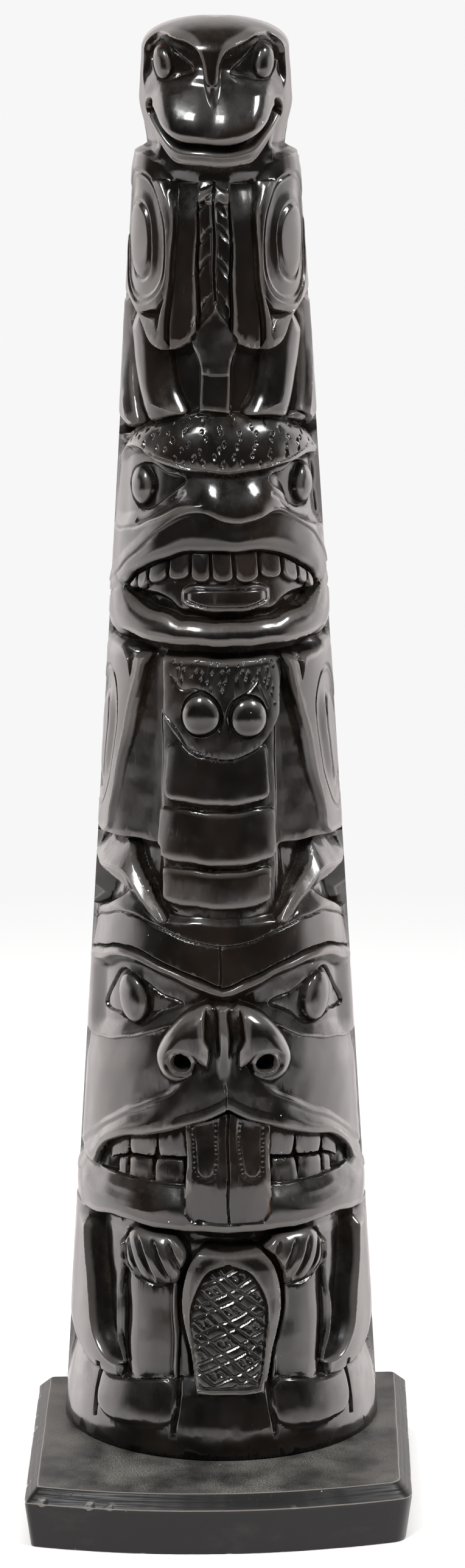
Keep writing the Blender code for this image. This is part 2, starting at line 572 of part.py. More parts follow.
def plinth_middle():
    outline = plinth_outline()
    return (outline.min(axis=0) + outline.max(axis=0)) / 2


def build_plinth(collection):
    mesh = bpy.data.meshes.new("plinth")
    shape = bmesh.new()
    corners = [shape.verts.new((x, y, 0)) for x, y in plinth_outline() - plinth_middle()]
    underside = shape.faces.new(corners)
    lifted = bmesh.ops.extrude_face_region(shape, geom=[underside])["geom"]
    top = [item for item in lifted if isinstance(item, bmesh.types.BMVert)]
    bmesh.ops.translate(shape, verts=top, vec=(0, 0, PLINTH_THICKNESS))
    bmesh.ops.recalc_face_normals(shape, faces=shape.faces)
    upright = [
        edge for edge in shape.edges
        if abs(edge.verts[0].co.z - edge.verts[1].co.z) > PLINTH_THICKNESS / 2
    ]
    sharp = [edge for edge in upright if edge.calc_face_angle() > np.radians(40)]
    worn = [edge for edge in sharp if edge.verts[0].co.x > 0 and edge.verts[0].co.y < 0]
    crisp = [edge for edge in sharp if edge not in worn]
    bevel = bmesh.ops.bevel
    bevel(shape, geom=worn, offset=PLINTH_WORN_CORNER, segments=4, profile=ROUND_PROFILE, affect="EDGES")
    bevel(shape, geom=crisp, offset=PLINTH_CORNER, segments=2, profile=ROUND_PROFILE, affect="EDGES")
    rim = [edge for edge in shape.edges if min(v.co.z for v in edge.verts) > PLINTH_THICKNESS / 2]
    bevel(shape, geom=rim, offset=PLINTH_CHAMFER, segments=1, profile=ROUND_PROFILE, affect="EDGES")
    half_width = POLE_FOOT_WIDTH / 2 + PLINTH_SIDE_MARGIN
    for vert in shape.verts:
        if vert.co.z < PLINTH_THICKNESS / 2:
            vert.co.xy *= 1 - PLINTH_DRAW_IN / half_width
    shape.to_mesh(mesh)
    shape.free()
    return add_to(collection, "plinth", mesh, stone_material("plinth_stone", PLINTH_STONE, PLINTH_ROUGHNESS))


def main():
    clear_scene()
    collection = bpy.data.collections.new("totem_pole")
    bpy.context.scene.collection.children.link(collection)
    build_plinth(collection)
    build_pole(collection)


main()
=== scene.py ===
import math

import bpy
import numpy as np
from mathutils import Matrix, Vector


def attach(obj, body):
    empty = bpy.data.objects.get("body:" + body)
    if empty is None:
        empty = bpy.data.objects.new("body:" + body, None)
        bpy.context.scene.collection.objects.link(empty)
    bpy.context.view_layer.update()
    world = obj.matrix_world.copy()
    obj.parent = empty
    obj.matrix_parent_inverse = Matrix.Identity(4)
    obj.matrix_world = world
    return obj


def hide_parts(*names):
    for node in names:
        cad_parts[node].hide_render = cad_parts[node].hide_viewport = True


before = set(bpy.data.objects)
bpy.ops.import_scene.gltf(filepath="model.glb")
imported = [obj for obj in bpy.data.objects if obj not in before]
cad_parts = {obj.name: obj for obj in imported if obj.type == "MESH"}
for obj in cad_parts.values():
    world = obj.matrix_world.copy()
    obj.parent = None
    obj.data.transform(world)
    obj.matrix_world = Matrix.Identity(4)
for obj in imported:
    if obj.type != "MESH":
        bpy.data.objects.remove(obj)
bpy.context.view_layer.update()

print("frame loaded:", len(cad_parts), "nodes")

# The carving is worked out on a drawing in millimetres: x runs round the front from its middle line,
# z is the height above the ground, and the level is the distance outwards from the plain stave.
stave = {
    "drawnFoot": 14.8,        # heights of the foot and the crown on the drawing
    "drawnCrown": 350.4,
    "wallHeight": 335.6,      # the height that the drawing spans on the pole
    "crownStart": 341.6,      # where the wall turns over into the rounded top
    "crownRise": 7.3,
    "crownRoundness": 2.0,
    "crownClosing": 0.985,
    "footHalf": 37.7,         # half width, depth of the rounded front, and the flat slab behind it
    "topHalf": 16.7,
    "footFront": 34.7,
    "topFront": 15.4,
    "footSlab": 9.0,
    "topSlab": 6.5,
    "slabLip": 0.6,
    "slabCorner": 1.2,
    "lean": -1.3,
    "setBack": 15.3,          # y of the widest line
    "seat": 0.05,             # how far the foot is raised above its height on the drawing
    "rowStep": 0.25,          # grid spacing up the wall
    "frontColumns": 470,
    "backColumns": 60,
    "sideColumns": 10,
    "crownRows": 26,
    "triangles": 192000,
    "edgeEase": 1.25,         # how much every carved edge is eased
    "fineShare": 0.1,         # share of the full grid's normals in the thinned mesh's shading
    "toolWander": 0.16,       # how far hand work strays from the drawing
    "handWork": 0.025,        # unevenness of the rubbed planes, and of the plain back
    "backWork": 0.12,
    "hollowReach": 7,         # grid steps over which a hollow is told from its surroundings
    "likeness": 8,            # how strongly the shading keeps to the broad faces beside a cut
}


# Smooth step: 3t^2 - 2t^3 between the two limits.
def ramp(value, low, high):
    t = np.clip((value - low) / (high - low), 0.0, 1.0)
    return t * t * (3.0 - 2.0 * t)


# Catmull-Rom curve through the points.
def curve(points, closed=False, steps=6):
    p = np.asarray(points, float)
    if closed:
        p = np.vstack([p[-1], p, p[0], p[1]])
    else:
        p = np.vstack([2 * p[0] - p[1], p, 2 * p[-1] - p[-2]])
    t = (np.arange(steps) / steps)[:, None]
    spans = []
    for a, b, c, d in zip(p[:-3], p[1:-2], p[2:-1], p[3:]):
        bend = (2 * a - 5 * b + 4 * c - d) * t ** 2 + (3 * b - a - 3 * c + d) * t ** 3
        spans.append(0.5 * (2 * b + (c - a) * t + bend))
    path = np.vstack(spans)
    return path if closed else np.vstack([path, p[-2]])


# Height above each x of a smooth curve through the points: cubic spans, where each point's slope is that of
# the chord between its neighbours.
def follow(x, *points, steps=8):
    p = np.array(points, float)
    slope = np.concatenate([p[1:2] - p[:1], p[2:] - p[:-2], p[-1:] - p[-2:-1]])
    slope = (slope[:, 1] / slope[:, 0])[:, None]
    run = np.diff(p[:, :1], axis=0)
    t = np.arange(steps) / steps
    rest = (1 - t) ** 2
    height = rest * (1 + 2 * t) * p[:-1, 1:] + (1 - rest * (1 + 2 * t)) * p[1:, 1:]
    height = height + run * (rest * t * slope[:-1] - t ** 2 * (1 - t) * slope[1:])
    place = p[:-1, :1] + run * t
    return np.interp(x, np.append(place, p[-1, 0]), np.append(height, p[-1, 1]))


# The grid points within reach of some points, as a mask.
def nearTo(x, z, points, reach):
    low = points.min(axis=0) - reach
    high = points.max(axis=0) + reach
    return (x > low[0]) & (x < high[0]) & (z > low[1]) & (z < high[1])


# Signed distance to a closed outline: the shortest distance to its sides, made negative where a level ray
# crosses the outline an odd number of times.
def outlineDistance(x, z, points, smooth=True, reach=8.0):
    ring = curve(points, True) if smooth else np.asarray(points, float)
    ends = np.roll(ring, -1, axis=0)
    near = nearTo(x, z, ring, reach)
    result = np.full(x.shape, float(reach))
    px = x[near]
    pz = z[near]
    best = np.full(px.shape, reach * reach)
    inside = np.zeros(px.shape, bool)
    for (ax, az), (bx, bz) in zip(ring, ends):
        ex = bx - ax
        ez = bz - az
        t = np.clip(((px - ax) * ex + (pz - az) * ez) / (ex * ex + ez * ez), 0, 1)
        best = np.minimum(best, (px - ax - t * ex) ** 2 + (pz - az - t * ez) ** 2)
        if az != bz:
            inside ^= ((az > pz) != (bz > pz)) & (px < ax + (pz - az) * ex / ez)
    result[near] = np.where(inside, -np.sqrt(best), np.sqrt(best))
    return result


# Distance to an open smooth line: the shortest to any of its straight pieces.
def lineDistance(x, z, points, reach=4.0):
    path = curve(points)
    near = nearTo(x, z, path, reach)
    result = np.full(x.shape, float(reach))
    px = x[near]
    pz = z[near]
    best = np.full(px.shape, reach * reach)
    for (ax, az), (bx, bz) in zip(path[:-1], path[1:]):
        ex = bx - ax
        ez = bz - az
        t = np.clip(((px - ax) * ex + (pz - az) * ez) / (ex * ex + ez * ez), 0, 1)
        best = np.minimum(best, (px - ax - t * ex) ** 2 + (pz - az - t * ez) ** 2)
    result[near] = np.sqrt(best)
    return result


# Turned superellipse: (|a|^n + |b|^n)^(1/n), 0 at the centre and 1 on the rim.
def oval(x, z, centre, half, turn=0.0, power=2.0):
    angle = math.radians(turn)
    dx = x - centre[0]
    dz = z - centre[1]
    a = (dx * math.cos(angle) - dz * math.sin(angle)) / half[0]
    b = (dx * math.sin(angle) + dz * math.cos(angle)) / half[1]
    return (np.abs(a) ** power + np.abs(b) ** power) ** (1 / power)


# Round cap: sqrt(1 - q^2) inside the rim.
def dome(q):
    return np.sqrt(np.clip(1 - q * q, 0, 1))


# Distance across the surface to a line: the offset from it, divided by how fast it changes per millimetre.
def acrossLine(offset):
    alongZ, alongX = np.gradient(offset)
    columnStep = math.pi * stave["footHalf"] / stave["frontColumns"]
    steep = np.hypot(alongZ / stave["rowStep"], alongX / columnStep)
    return offset / np.maximum(steep, 1)


# Mask: 1 above a line and 0 below it, a smooth step of the distance across the line's soft edge.
def above(z, line, edge=0.3):
    edge = edge * stave["edgeEase"]
    return ramp(acrossLine(z - line), -edge, edge)


# The other side of the same mask: 1 - above.
def below(z, line, edge=0.3):
    return 1 - above(z, line, edge)


# Blend towards a target level: level + (target - level) * mask.
def lay(level, mask, target):
    return level + (target - level) * mask


# V cut: level - depth * (1 - distance / width)^1.2.
def incise(level, distance, width=0.45, depth=0.5):
    return level - depth * np.clip(1 - distance / width, 0, 1) ** 1.2


# Leaf-shaped gouge along a stroke: level - depth * (swell - across / width), where swell is sin(pi t)^0.6.
def gouge(level, x, z, start, end, width, depth):
    stroke = np.array([start, end], float)
    near = nearTo(x, z, stroke, width)
    ex, ez = stroke[1] - stroke[0]
    length = math.hypot(ex, ez)
    dx = x[near] - stroke[0, 0]
    dz = z[near] - stroke[0, 1]
    t = (dx * ex + dz * ez) / length ** 2
    across = np.abs(dx * ez - dz * ex) / length
    swell = np.sin(np.pi * np.clip(t, 0, 1)) ** 0.6
    level[near] -= depth * np.clip(swell - across / width, 0, 1)
    return level


# Level of the plain bands behind the figures, at the middle of the front, at its widest line and at the back.
ground = {
    "middle": (
        (14, 0.0), (22, 0.0), (30, -0.8), (34, -2.4), (60, -2.4), (66.5, -5.0), (69, -3.0), (71, 0.0),
        (76, 0.6), (80.5, 0.0), (118, 0.2), (125, -2.0), (128.5, -1.0), (136, -1.6), (143, -3.0),
        (147, -4.0), (160, -4.2),
        (204, -4.4), (207, -5.2), (209.5, -0.6), (218, -0.2), (230, -0.6), (238, 0.0), (246, -1.6),
        (253, -0.9), (261, -5.2), (274, -5.0), (277, -3.4), (309, -2.9), (315, -4.6), (317.5, -1.4),
        (320, -0.4)),
    "edge": (
        (14, 0.0), (31, -0.6), (35, -0.2), (66, -0.4), (68, -1.6), (70, -0.4), (74, 0.0), (133, 0.0),
        (138, -0.6), (143, -2.2), (147, -4.2), (158, -4.2), (160.4, -0.2), (203, 0.1), (205.5, -0.4),
        (207.5, -1.8), (209.5, -0.4), (212, 0.2), (247, -0.4), (252, -1.4), (255.5, -3.0), (257, -2.6),
        (259, 0.0), (285, 0.2), (315.5, 0.0), (317.5, -0.4), (319.0, -3.2), (325, -2.0), (329, -1.3),
        (335, -0.8), (352, -0.6)),
    "back": (
        (14, 0.0), (316.6, 0.0), (319.0, -3.2), (322, -2.7), (325, -2.0), (329, -1.3), (335, -0.8),
        (345, -0.5)),
    "turn": (38, 74),         # angles between which the middle's level changes to the edge's
}


# Between the two: middle * (1 - share) + edge * share, where share is a smooth step of the angle.
def plainLevel(angle, z):
    middle = np.interp(z, *np.array(ground["middle"]).T)
    edge = np.interp(z, *np.array(ground["edge"]).T)
    share = ramp(np.abs(angle), *np.radians(ground["turn"]))
    return middle * (1 - share) + edge * share


topHead = {
    "middle": -0.5,
    "neckLevel": -4.4,
    "jawLevel": -0.1,
    "snout": (
        (0, 0.5), (0.45, 1.8), (1.1, 2.5), (2.2, 2.85), (4.0, 2.75), (6.2, 2.1), (8.6, 0.9), (10.8, -0.5),
        (13, -1.9), (16, -3.0)),
    "cheekLevel": -0.35,
    "socketDepth": 3.5,
    "bridge": ((322, 1.2), (328, 0.9), (331, 0.25), (334, -0.3), (338, -0.35), (342, -0.3)),
    "bridgeHalf": 1.2,
    "foreheadLevel": -0.1,
    "eye": (14.9, 339.5),
    "eyeHalf": (3.2, 4.2),
    "eyeRise": 1.55,
    "cornerPit": 2.4,
    "chin": (
        (0, 316.6), (6.5, 316.9), (9.6, 317.5), (13.2, 320.8), (16.2, 324.8), (18.6, 327.6), (24, 329)),
    "roll": ((0, 319.2), (6, 319.4), (10, 320.6), (14, 324.4), (18, 328.2), (24, 330)),
    "mouth": ((0, 321.7), (5.4, 321.8), (8.6, 323), (12.4, 325.7), (15.2, 328.9), (18.4, 330.4), (24, 331)),
    "brow": (
        (0, 334.5), (1.4, 335.5), (1.9, 339.2), (3.2, 341.8), (6, 343.4), (10.5, 344.6), (19, 346),
        (26, 347)),
    "floor": ((0, 335.2), (4, 335.2), (9, 334.4), (14, 333.8), (19, 333.6), (26, 334)),
    "bowl": (
        (1.6, 333), (1.7, 338.4), (2.9, 341.7), (6, 343.4), (10.5, 344.6), (16, 345.5), (20.2, 344.8),
        (21.3, 340), (20.4, 333.5), (12, 331)),
    "lids": (
        (5.2, 337.3), (9.5, 340.8), (14.4, 343.6), (18.6, 343.6), (21.2, 340.8), (17.6, 337.2),
        (13.2, 335.3), (9.2, 336.4)),
    "neckFoot": 312.6,
    "neckHalf": 17,
    "sideFoot": 320.2,
    "sideLevel": -0.6,
    "jawHalf": 17.9,
    "lipHalf": 18.2,
    "mouthHalf": 17.0,
    "muzzleTop": 333,
    "muzzleGroove": 0.7,
    "bridgeTop": 341,
    "browPit": ((7.4, 337.0), (2.8, 1.2), 12),
    "eyeTurn": 20,
    "cornerHole": ((17.9, 329.3), (1.7, 2.4), -35),
}


# Each figure is a run of masks between smooth lines, each laid to its own level. Here: neck, sides, jaw,
# a muzzle that swells from the mouth up, sunk sockets with domed eyes, a narrow bridge and the forehead.
def carveTopHead(level, x, z):
    v = topHead
    u = np.abs(x - v["middle"])
    chin = follow(u, *v["chin"])
    roll = follow(u, *v["roll"])
    mouth = follow(u, *v["mouth"])
    brow = follow(u, *v["brow"])
    floor = follow(u, *v["floor"])
    neck = below(z, chin, 0.7) * above(z, v["neckFoot"], 2.4) * below(u, v["neckHalf"], 3)
    level = lay(level, neck, v["neckLevel"] + 0.09 * u)
    sideOfHead = above(u, v["neckHalf"], 1.5) * above(z, v["sideFoot"], 0.8)
    level = lay(level, sideOfHead, v["sideLevel"] - 2.6 * ramp(331 - z, 0, 11))
    jaw = above(z, chin) * below(z, mouth) * below(u, v["jawHalf"], 0.7)
    rolled = 0.6 * np.exp(-((z - roll) / 1.1) ** 2) - 0.9 * ramp(z - roll, 0.6, 2.2)
    level = lay(level, jaw, v["jawLevel"] - 0.035 * u + rolled)
    rise = z - mouth
    lip = above(rise, 0, 0.25) * below(z, floor + 1.2, 2.6) * below(u, v["lipHalf"], 1.7)
    sideways = ramp(u, 7.5, 17.5)
    snout = follow(rise, *v["snout"]) * (1 - sideways)
    level = lay(level, lip, snout + (v["cheekLevel"] - 0.12 * rise) * sideways)
    groove = np.exp(-(u / 2.3) ** 2) * above(rise, 1.6, 1.6) * below(z, v["muzzleTop"], 3)
    level = level - v["muzzleGroove"] * groove
    bowl = outlineDistance(u, z, v["bowl"])
    socket = below(bowl, 0, 0.45) * above(z, floor + 0.6, 2.0)
    depth = v["socketDepth"] - 1.4 * ramp(u, 6, 17) - 0.8 * ramp(floor + 3.2 - z, -1, 3)
    level = lay(level, socket, -depth)
    bridge = below(u, v["bridgeHalf"] + 0.7 * ramp(z, 336, 341), 1.0) * below(z, v["bridgeTop"], 2)
    ridge = follow(z, *v["bridge"]) - 0.25 * u * u
    level = level + np.clip(ridge - level, 0, None) * bridge * above(z, 329, 3)
    lids = outlineDistance(u, z, v["lids"])
    level = lay(level, below(lids, 0, 0.3), level - 0.45)
    level = incise(level, np.abs(lids), 0.5, 0.45)
    level = level - 0.45 * np.exp(-oval(u, z, *v["browPit"]) ** 2)
    eye = oval(u, z, v["eye"], v["eyeHalf"], v["eyeTurn"])
    level = lay(level, below(eye, 0.99, 0.05), -2.3 + v["eyeRise"] * dome(np.minimum(eye, 0.985)))
    forehead = above(z, brow + 0.2, 0.3)
    level = lay(level, forehead, v["foreheadLevel"] - 0.5 * ramp(u, 10, 20))
    hole = oval(u, z, *v["cornerHole"])
    level = level - v["cornerPit"] * (1 - ramp(hole, 0.45, 1.1))
    return incise(level, np.where(u < v["mouthHalf"], np.abs(rise + 0.1), 9), 0.6, 1.1)


topBody = {
    "middle": -0.4,
    "wingLevel": 0.25,
    "featherLevel": -0.6,
    "breastLevel": -2.3,
    "legFloor": 5.4,
    "legRise": 5.3,
    "ovalCut": 0.6,
    "ovalDish": 0.8,
    "notchDepth": 1.8,
    "leafWidth": 1.05,
    "leafDepth": 0.8,
    "leaves": (                # strokes of the cut feathers, from the spine outwards
        ((-0.6, 310.9), (-5.1, 306.2)), ((-0.8, 303.2), (-5.3, 298.4)), ((-1.0, 297.0), (-5.6, 291.8)),
        ((-0.9, 288.6), (-6.2, 280.4)), ((0.2, 309.6), (3.4, 305.2)), ((0.2, 304.2), (3.9, 299.4)),
        ((0.2, 296.6), (4.4, 291.0)), ((0.0, 289.2), (4.2, 280.8))),
    "belly": (
        (240, 3.9), (262, 3.9), (271, 4.1), (273.5, 4.8), (276.8, 6.2), (281, 3.6), (286.2, 0.0),
        (330, 0.0)),
    "ends": (
        (0, 280), (4, 278.2), (6.8, 276.7), (9.4, 275.6), (12.2, 275.2), (16, 276.9), (20, 282),
        (26, 285.6), (44, 290)),
    "wingEdge": (
        (240, 12.2), (277, 12.0), (286, 11.6), (293, 10.8), (302, 10.4), (308, 10.9), (313.5, 13.4),
        (317, 16), (319.6, 19.5), (330, 28)),
    "skull": (
        (-44, 251), (-33, 254.2), (-26.4, 256.3), (-18.4, 258.2), (-8.2, 260.7), (0.3, 261.7), (6.4, 260.6),
        (19.1, 259.7), (24, 260.4), (36, 253.2), (44, 251)),
    "leg": (
        (28.6, 281), (27.6, 273.5), (24.2, 264.6), (20, 257.6), (14.6, 257.4), (7.2, 260.2), (10.5, 266),
        (12.6, 272), (14, 279), (20, 287)),
    "tip": (
        (28.6, 286), (29.4, 275), (26.4, 264.5), (22, 257), (25, 255.4), (36, 257), (40, 270), (38, 286)),
    "notch": ((19.8, 283.3), (14.4, 284.6), (12.1, 287.6), (12.9, 284.2), (13.6, 279.8), (14.8, 282.2)),
    "stripHalf": 4.0,
    "stripFoot": 280,
    "stripTop": 312.2,
    "collarFoot": 308.6,
    "spineCut": (286, 313.2),  # heights between which each cut runs
    "sideCut": (279, 312),
    "sideCutAt": 4.3,
    "feathersFrom": 4.5,
    "feathersTo": 11.7,
    "feathersTop": 313.5,
    "spearTop": 286.2,
    "spearLevel": -2.1,
    "wingTop": 319.4,
    "outerOval": ((21.6, 300.0), (9.0, 14.6), 10, 2.25),
    "innerOval": ((22.0, 299.2), (4.9, 8.6), 8, 2.25),
    "innerCut": 0.45,
}


# Breast strip, feathers, spear, legs with the tips behind them, and wings with two dished ovals each.
def carveTopBody(level, x, z):
    v = topBody
    u = np.abs(x - v["middle"])
    belly = follow(z, *v["belly"])
    ends = follow(u, *v["ends"])
    wingEdge = follow(z, *v["wingEdge"])
    strip = below(u, v["stripHalf"]) * above(z, v["stripFoot"], 1) * below(z, v["stripTop"] - 0.35 * u, 0.5)
    level = lay(level, strip, v["breastLevel"] - 0.55 * ramp(u, 0.3, 1.1) + 0.35 * ramp(u, 1.2, 4.6))
    collar = strip * above(z, v["collarFoot"], 0.4)
    level = lay(level, collar, v["breastLevel"] + 0.5 - 0.12 * (z - 308) * (4 - u))
    low, high = v["spineCut"]
    level = incise(level, np.where((z > low) & (z < high), u, 9), 0.5, 0.75)
    low, high = v["sideCut"]
    level = incise(level, np.where((z > low) & (z < high), np.abs(u - v["sideCutAt"]), 9), 0.45, 0.6)
    feathers = above(u, v["feathersFrom"]) * below(u, v["feathersTo"], 0.5)
    feathers = feathers * below(z, v["feathersTop"], 2.4) * above(z, ends)
    sloping = -0.06 * (z - 276) - 2.2 * ramp(z, 304, 314.5)
    level = lay(level, feathers, v["featherLevel"] - 0.05 * (u - 5) + sloping)
    skull = follow(x, *v["skull"])
    low = below(z, ends, 0.35) * above(z, skull, 0.4)
    level = lay(level, low * above(u, belly + 0.6, 0.6), -v["legFloor"] + 0.3 * ramp(z, 268, 258))
    for start, end in v["leaves"]:
        level = gouge(level, x, z, start, end, v["leafWidth"], v["leafDepth"])
    spear = below(u, belly, 0.3) * below(z, v["spearTop"], 0.4) * above(z, skull, 0.4)
    bellied = v["spearLevel"] - 0.03 * u * u + 0.035 * (z - 270)
    level = lay(level, spear, bellied - (0.25 + 0.1 * (z - 270)) * ramp(270 - z, -0.3, 0.3))
    leg = outlineDistance(u, z, v["leg"])
    swell = 1 - (1 - np.clip(-leg / 7.5, 0, 1)) ** 2.2
    footTurn = 0.022 * np.clip(262 - z, 0, 9) ** 2
    level = lay(level, low * below(leg, 0), -5.2 + v["legRise"] * swell ** 0.62 - footTurn)
    tip = outlineDistance(u, z, v["tip"])
    level = lay(level, low * below(tip, 0) * above(leg, 0.3), -2.6 + 2.9 * np.clip(-tip / 3.2, 0, 1) ** 0.6)
    level = incise(level, np.where(low > 0.5, np.abs(leg), 9), 0.55, 0.6 * ramp(u, 16, 24))
    wing = above(u, wingEdge + 0.1, 0.3 + 1.5 * ramp(z, 306, 315)) * above(z, ends)
    wing = wing * below(z, v["wingTop"], 0.9)
    leaning = 0.055 * (z - 285) * ramp(u, 25, 16)
    level = lay(level, wing, v["wingLevel"] - 0.5 * ramp(z, 314, 319) - leaning)
    level = incise(level, np.where(z > 276, np.abs(u - wingEdge), 9), 0.45, 0.45 * ramp(z, 314, 308))
    outer = oval(u, z, *v["outerOval"])
    level = level - v["ovalCut"] * np.exp(-((outer - 0.985) / 0.035) ** 2)
    level = level - v["ovalDish"] * below(outer, 0.93, 0.04) * above(outer, 0.58, 0.16)
    inner = oval(u, z, *v["innerOval"])
    level = level - v["innerCut"] * np.exp(-((inner - 1) / 0.07) ** 2)
    notch = outlineDistance(u, z, v["notch"], False, 3)
    return level - v["notchDepth"] * np.clip(-notch / 1.1, 0, 1) - 0.25 * below(notch, 0, 0.2)


wideHead = {
    "middle": 2.6,
    "noseMiddle": 5.0,
    "domeTop": 261.3,
    "domeFall": 0.0062,
    "domeDeep": 9.5,
    "socketDepth": 3.6,
    "nose": (17.0, 10.8),
    "noseRise": 5.0,
    "mouthDepth": 4.4,
    "plateLevel": -3.0,
    "toothLevel": -1.9,
    "toothEdges": (-25.6, -22.4, -18.8, -13.2, -7.0, -1.7, 4.0, 10.9, 17.7, 22.8, 26.6, 29.4),
    "tongue": (2.3, 219.1),
    "tongueHalf": (11.6, 3.15),
    "rollRise": 1.5,
    "eye": (25.4, 243.4),
    "eyeHalf": (4.0, 4.5),
    "dotRows": (
        (260.4, 5.0, 0.6), (258.8, 4.0, 0.2), (257.1, 4.4, 2.0), (255.4, 4.0, 0.9), (253.6, 4.2, 2.6),
        (251.9, 4.4, 0.4), (250.4, 4.4, 2.4)),
    "dotReach": 30.0,         # how far to each side the rows of cuts run
    "dotLength": 1.5,
    "dotWidth": 0.55,
    "dotDepth": 0.5,
    "brow": (
        (0, 248.3), (4.5, 248.5), (8, 248.9), (14, 250.2), (19, 251.6), (25, 252.2), (32, 250.6), (42, 247),
        (60, 243)),
    "under": (
        (0, 240.6), (7, 241.2), (12, 239.8), (16.4, 237.8), (24, 234.4), (31, 232.7), (38, 232.2),
        (60, 233)),
    "fold": (
        (0, 236.6), (4, 237.1), (8.3, 238.6), (12, 238.2), (18, 234.9), (23, 231.2), (28, 227.3), (34, 223),
        (60, 212)),
    "rim": (
        (0, 229.7), (6, 229.6), (11.7, 229.0), (16.5, 227.5), (21, 225.5), (25, 223.2), (28.2, 220.4),
        (60, 210)),
    "lower": ((0, 213.6), (11.5, 213.6), (15, 214.8), (21, 215.6), (26, 217.2), (29.2, 219.2), (60, 238)),
    "chin": ((0, 208.3), (8, 208.2), (15, 208.3), (21, 208.8), (27, 209.4), (34, 210.4), (60, 214)),
    "lids": (
        (11, 245.4), (16.5, 247.0), (23, 248.5), (29.0, 246.6), (31, 242.6), (27.6, 238.6), (22.4, 238.4),
        (16.6, 242)),
    "rolled": ((0, -1.0), (0.3, -0.55), (0.6, -0.35), (0.85, -0.75), (1, -1.5)),
    "gum": (
        (0, 215.6), (11, 215.6), (13, 216.2), (15.5, 217.9), (20, 219.1), (24, 218.9), (28, 218.6),
        (60, 216)),
    "foot": ((0, 223.0), (8, 223.0), (14, 222.9), (18, 221.9), (23, 220.4), (28, 218.8), (60, 212)),
    "dotsFrom": 2.5,
    "cheekLevel": 0.5,
    "noseMiddleHeight": 238.0,
    "noseFoot": -3.2,
    "eyeTurn": 12,
    "eyeFloor": -2.9,
    "eyeRise": 2.3,
    "tearLine": ((11.2, 242.6), (16.4, 239.4), (21.5, 236.6), (26, 235.2)),
    "outerLip": ((0, 1.2), (0.4, 0.75), (1, 0.4)),
    "mouthHalf": 29.0,
    "toothRoundness": 2.6,
    "tongueLevel": -1.5,
    "grooveHalf": (10.2, 2.0),
    "grooveDepth": 0.55,
    "rollLevel": -0.75,
    "rollHalf": 36,
    "throatFoot": 205.3,
    "throatHalf": 26,
    "throatLevel": -5.2,
}


# Rows of short leaf cuts over the skull: each row sags as the dome's edge does, by domeFall * u^2, and the
# cuts lean a little either way.
def headCuts(level, x, z):
    v = wideHead
    for height, step, shift in v["dotRows"]:
        for count in range(int(2 * v["dotReach"] / step)):
            cx = v["dotsFrom"] - v["dotReach"] + shift + count * step
            stray = math.sin(7.1 * cx + 3.3 * height)
            sag = v["domeFall"] * (cx - v["middle"]) ** 2
            cz = height - sag * 0.85 + 0.55 * stray
            if abs(cx - v["middle"]) > 16 and height < 252:
                continue
            lean = 0.35 * math.sin(2.3 * cx + height) + 0.012 * cx
            half = v["dotLength"] / 2 * (1 + 0.25 * math.sin(5.7 * cx))
            start = (cx - lean * half, cz - half)
            end = (cx + lean * half, cz + half)
            level = gouge(level, x, z, start, end, v["dotWidth"], v["dotDepth"])
    return level


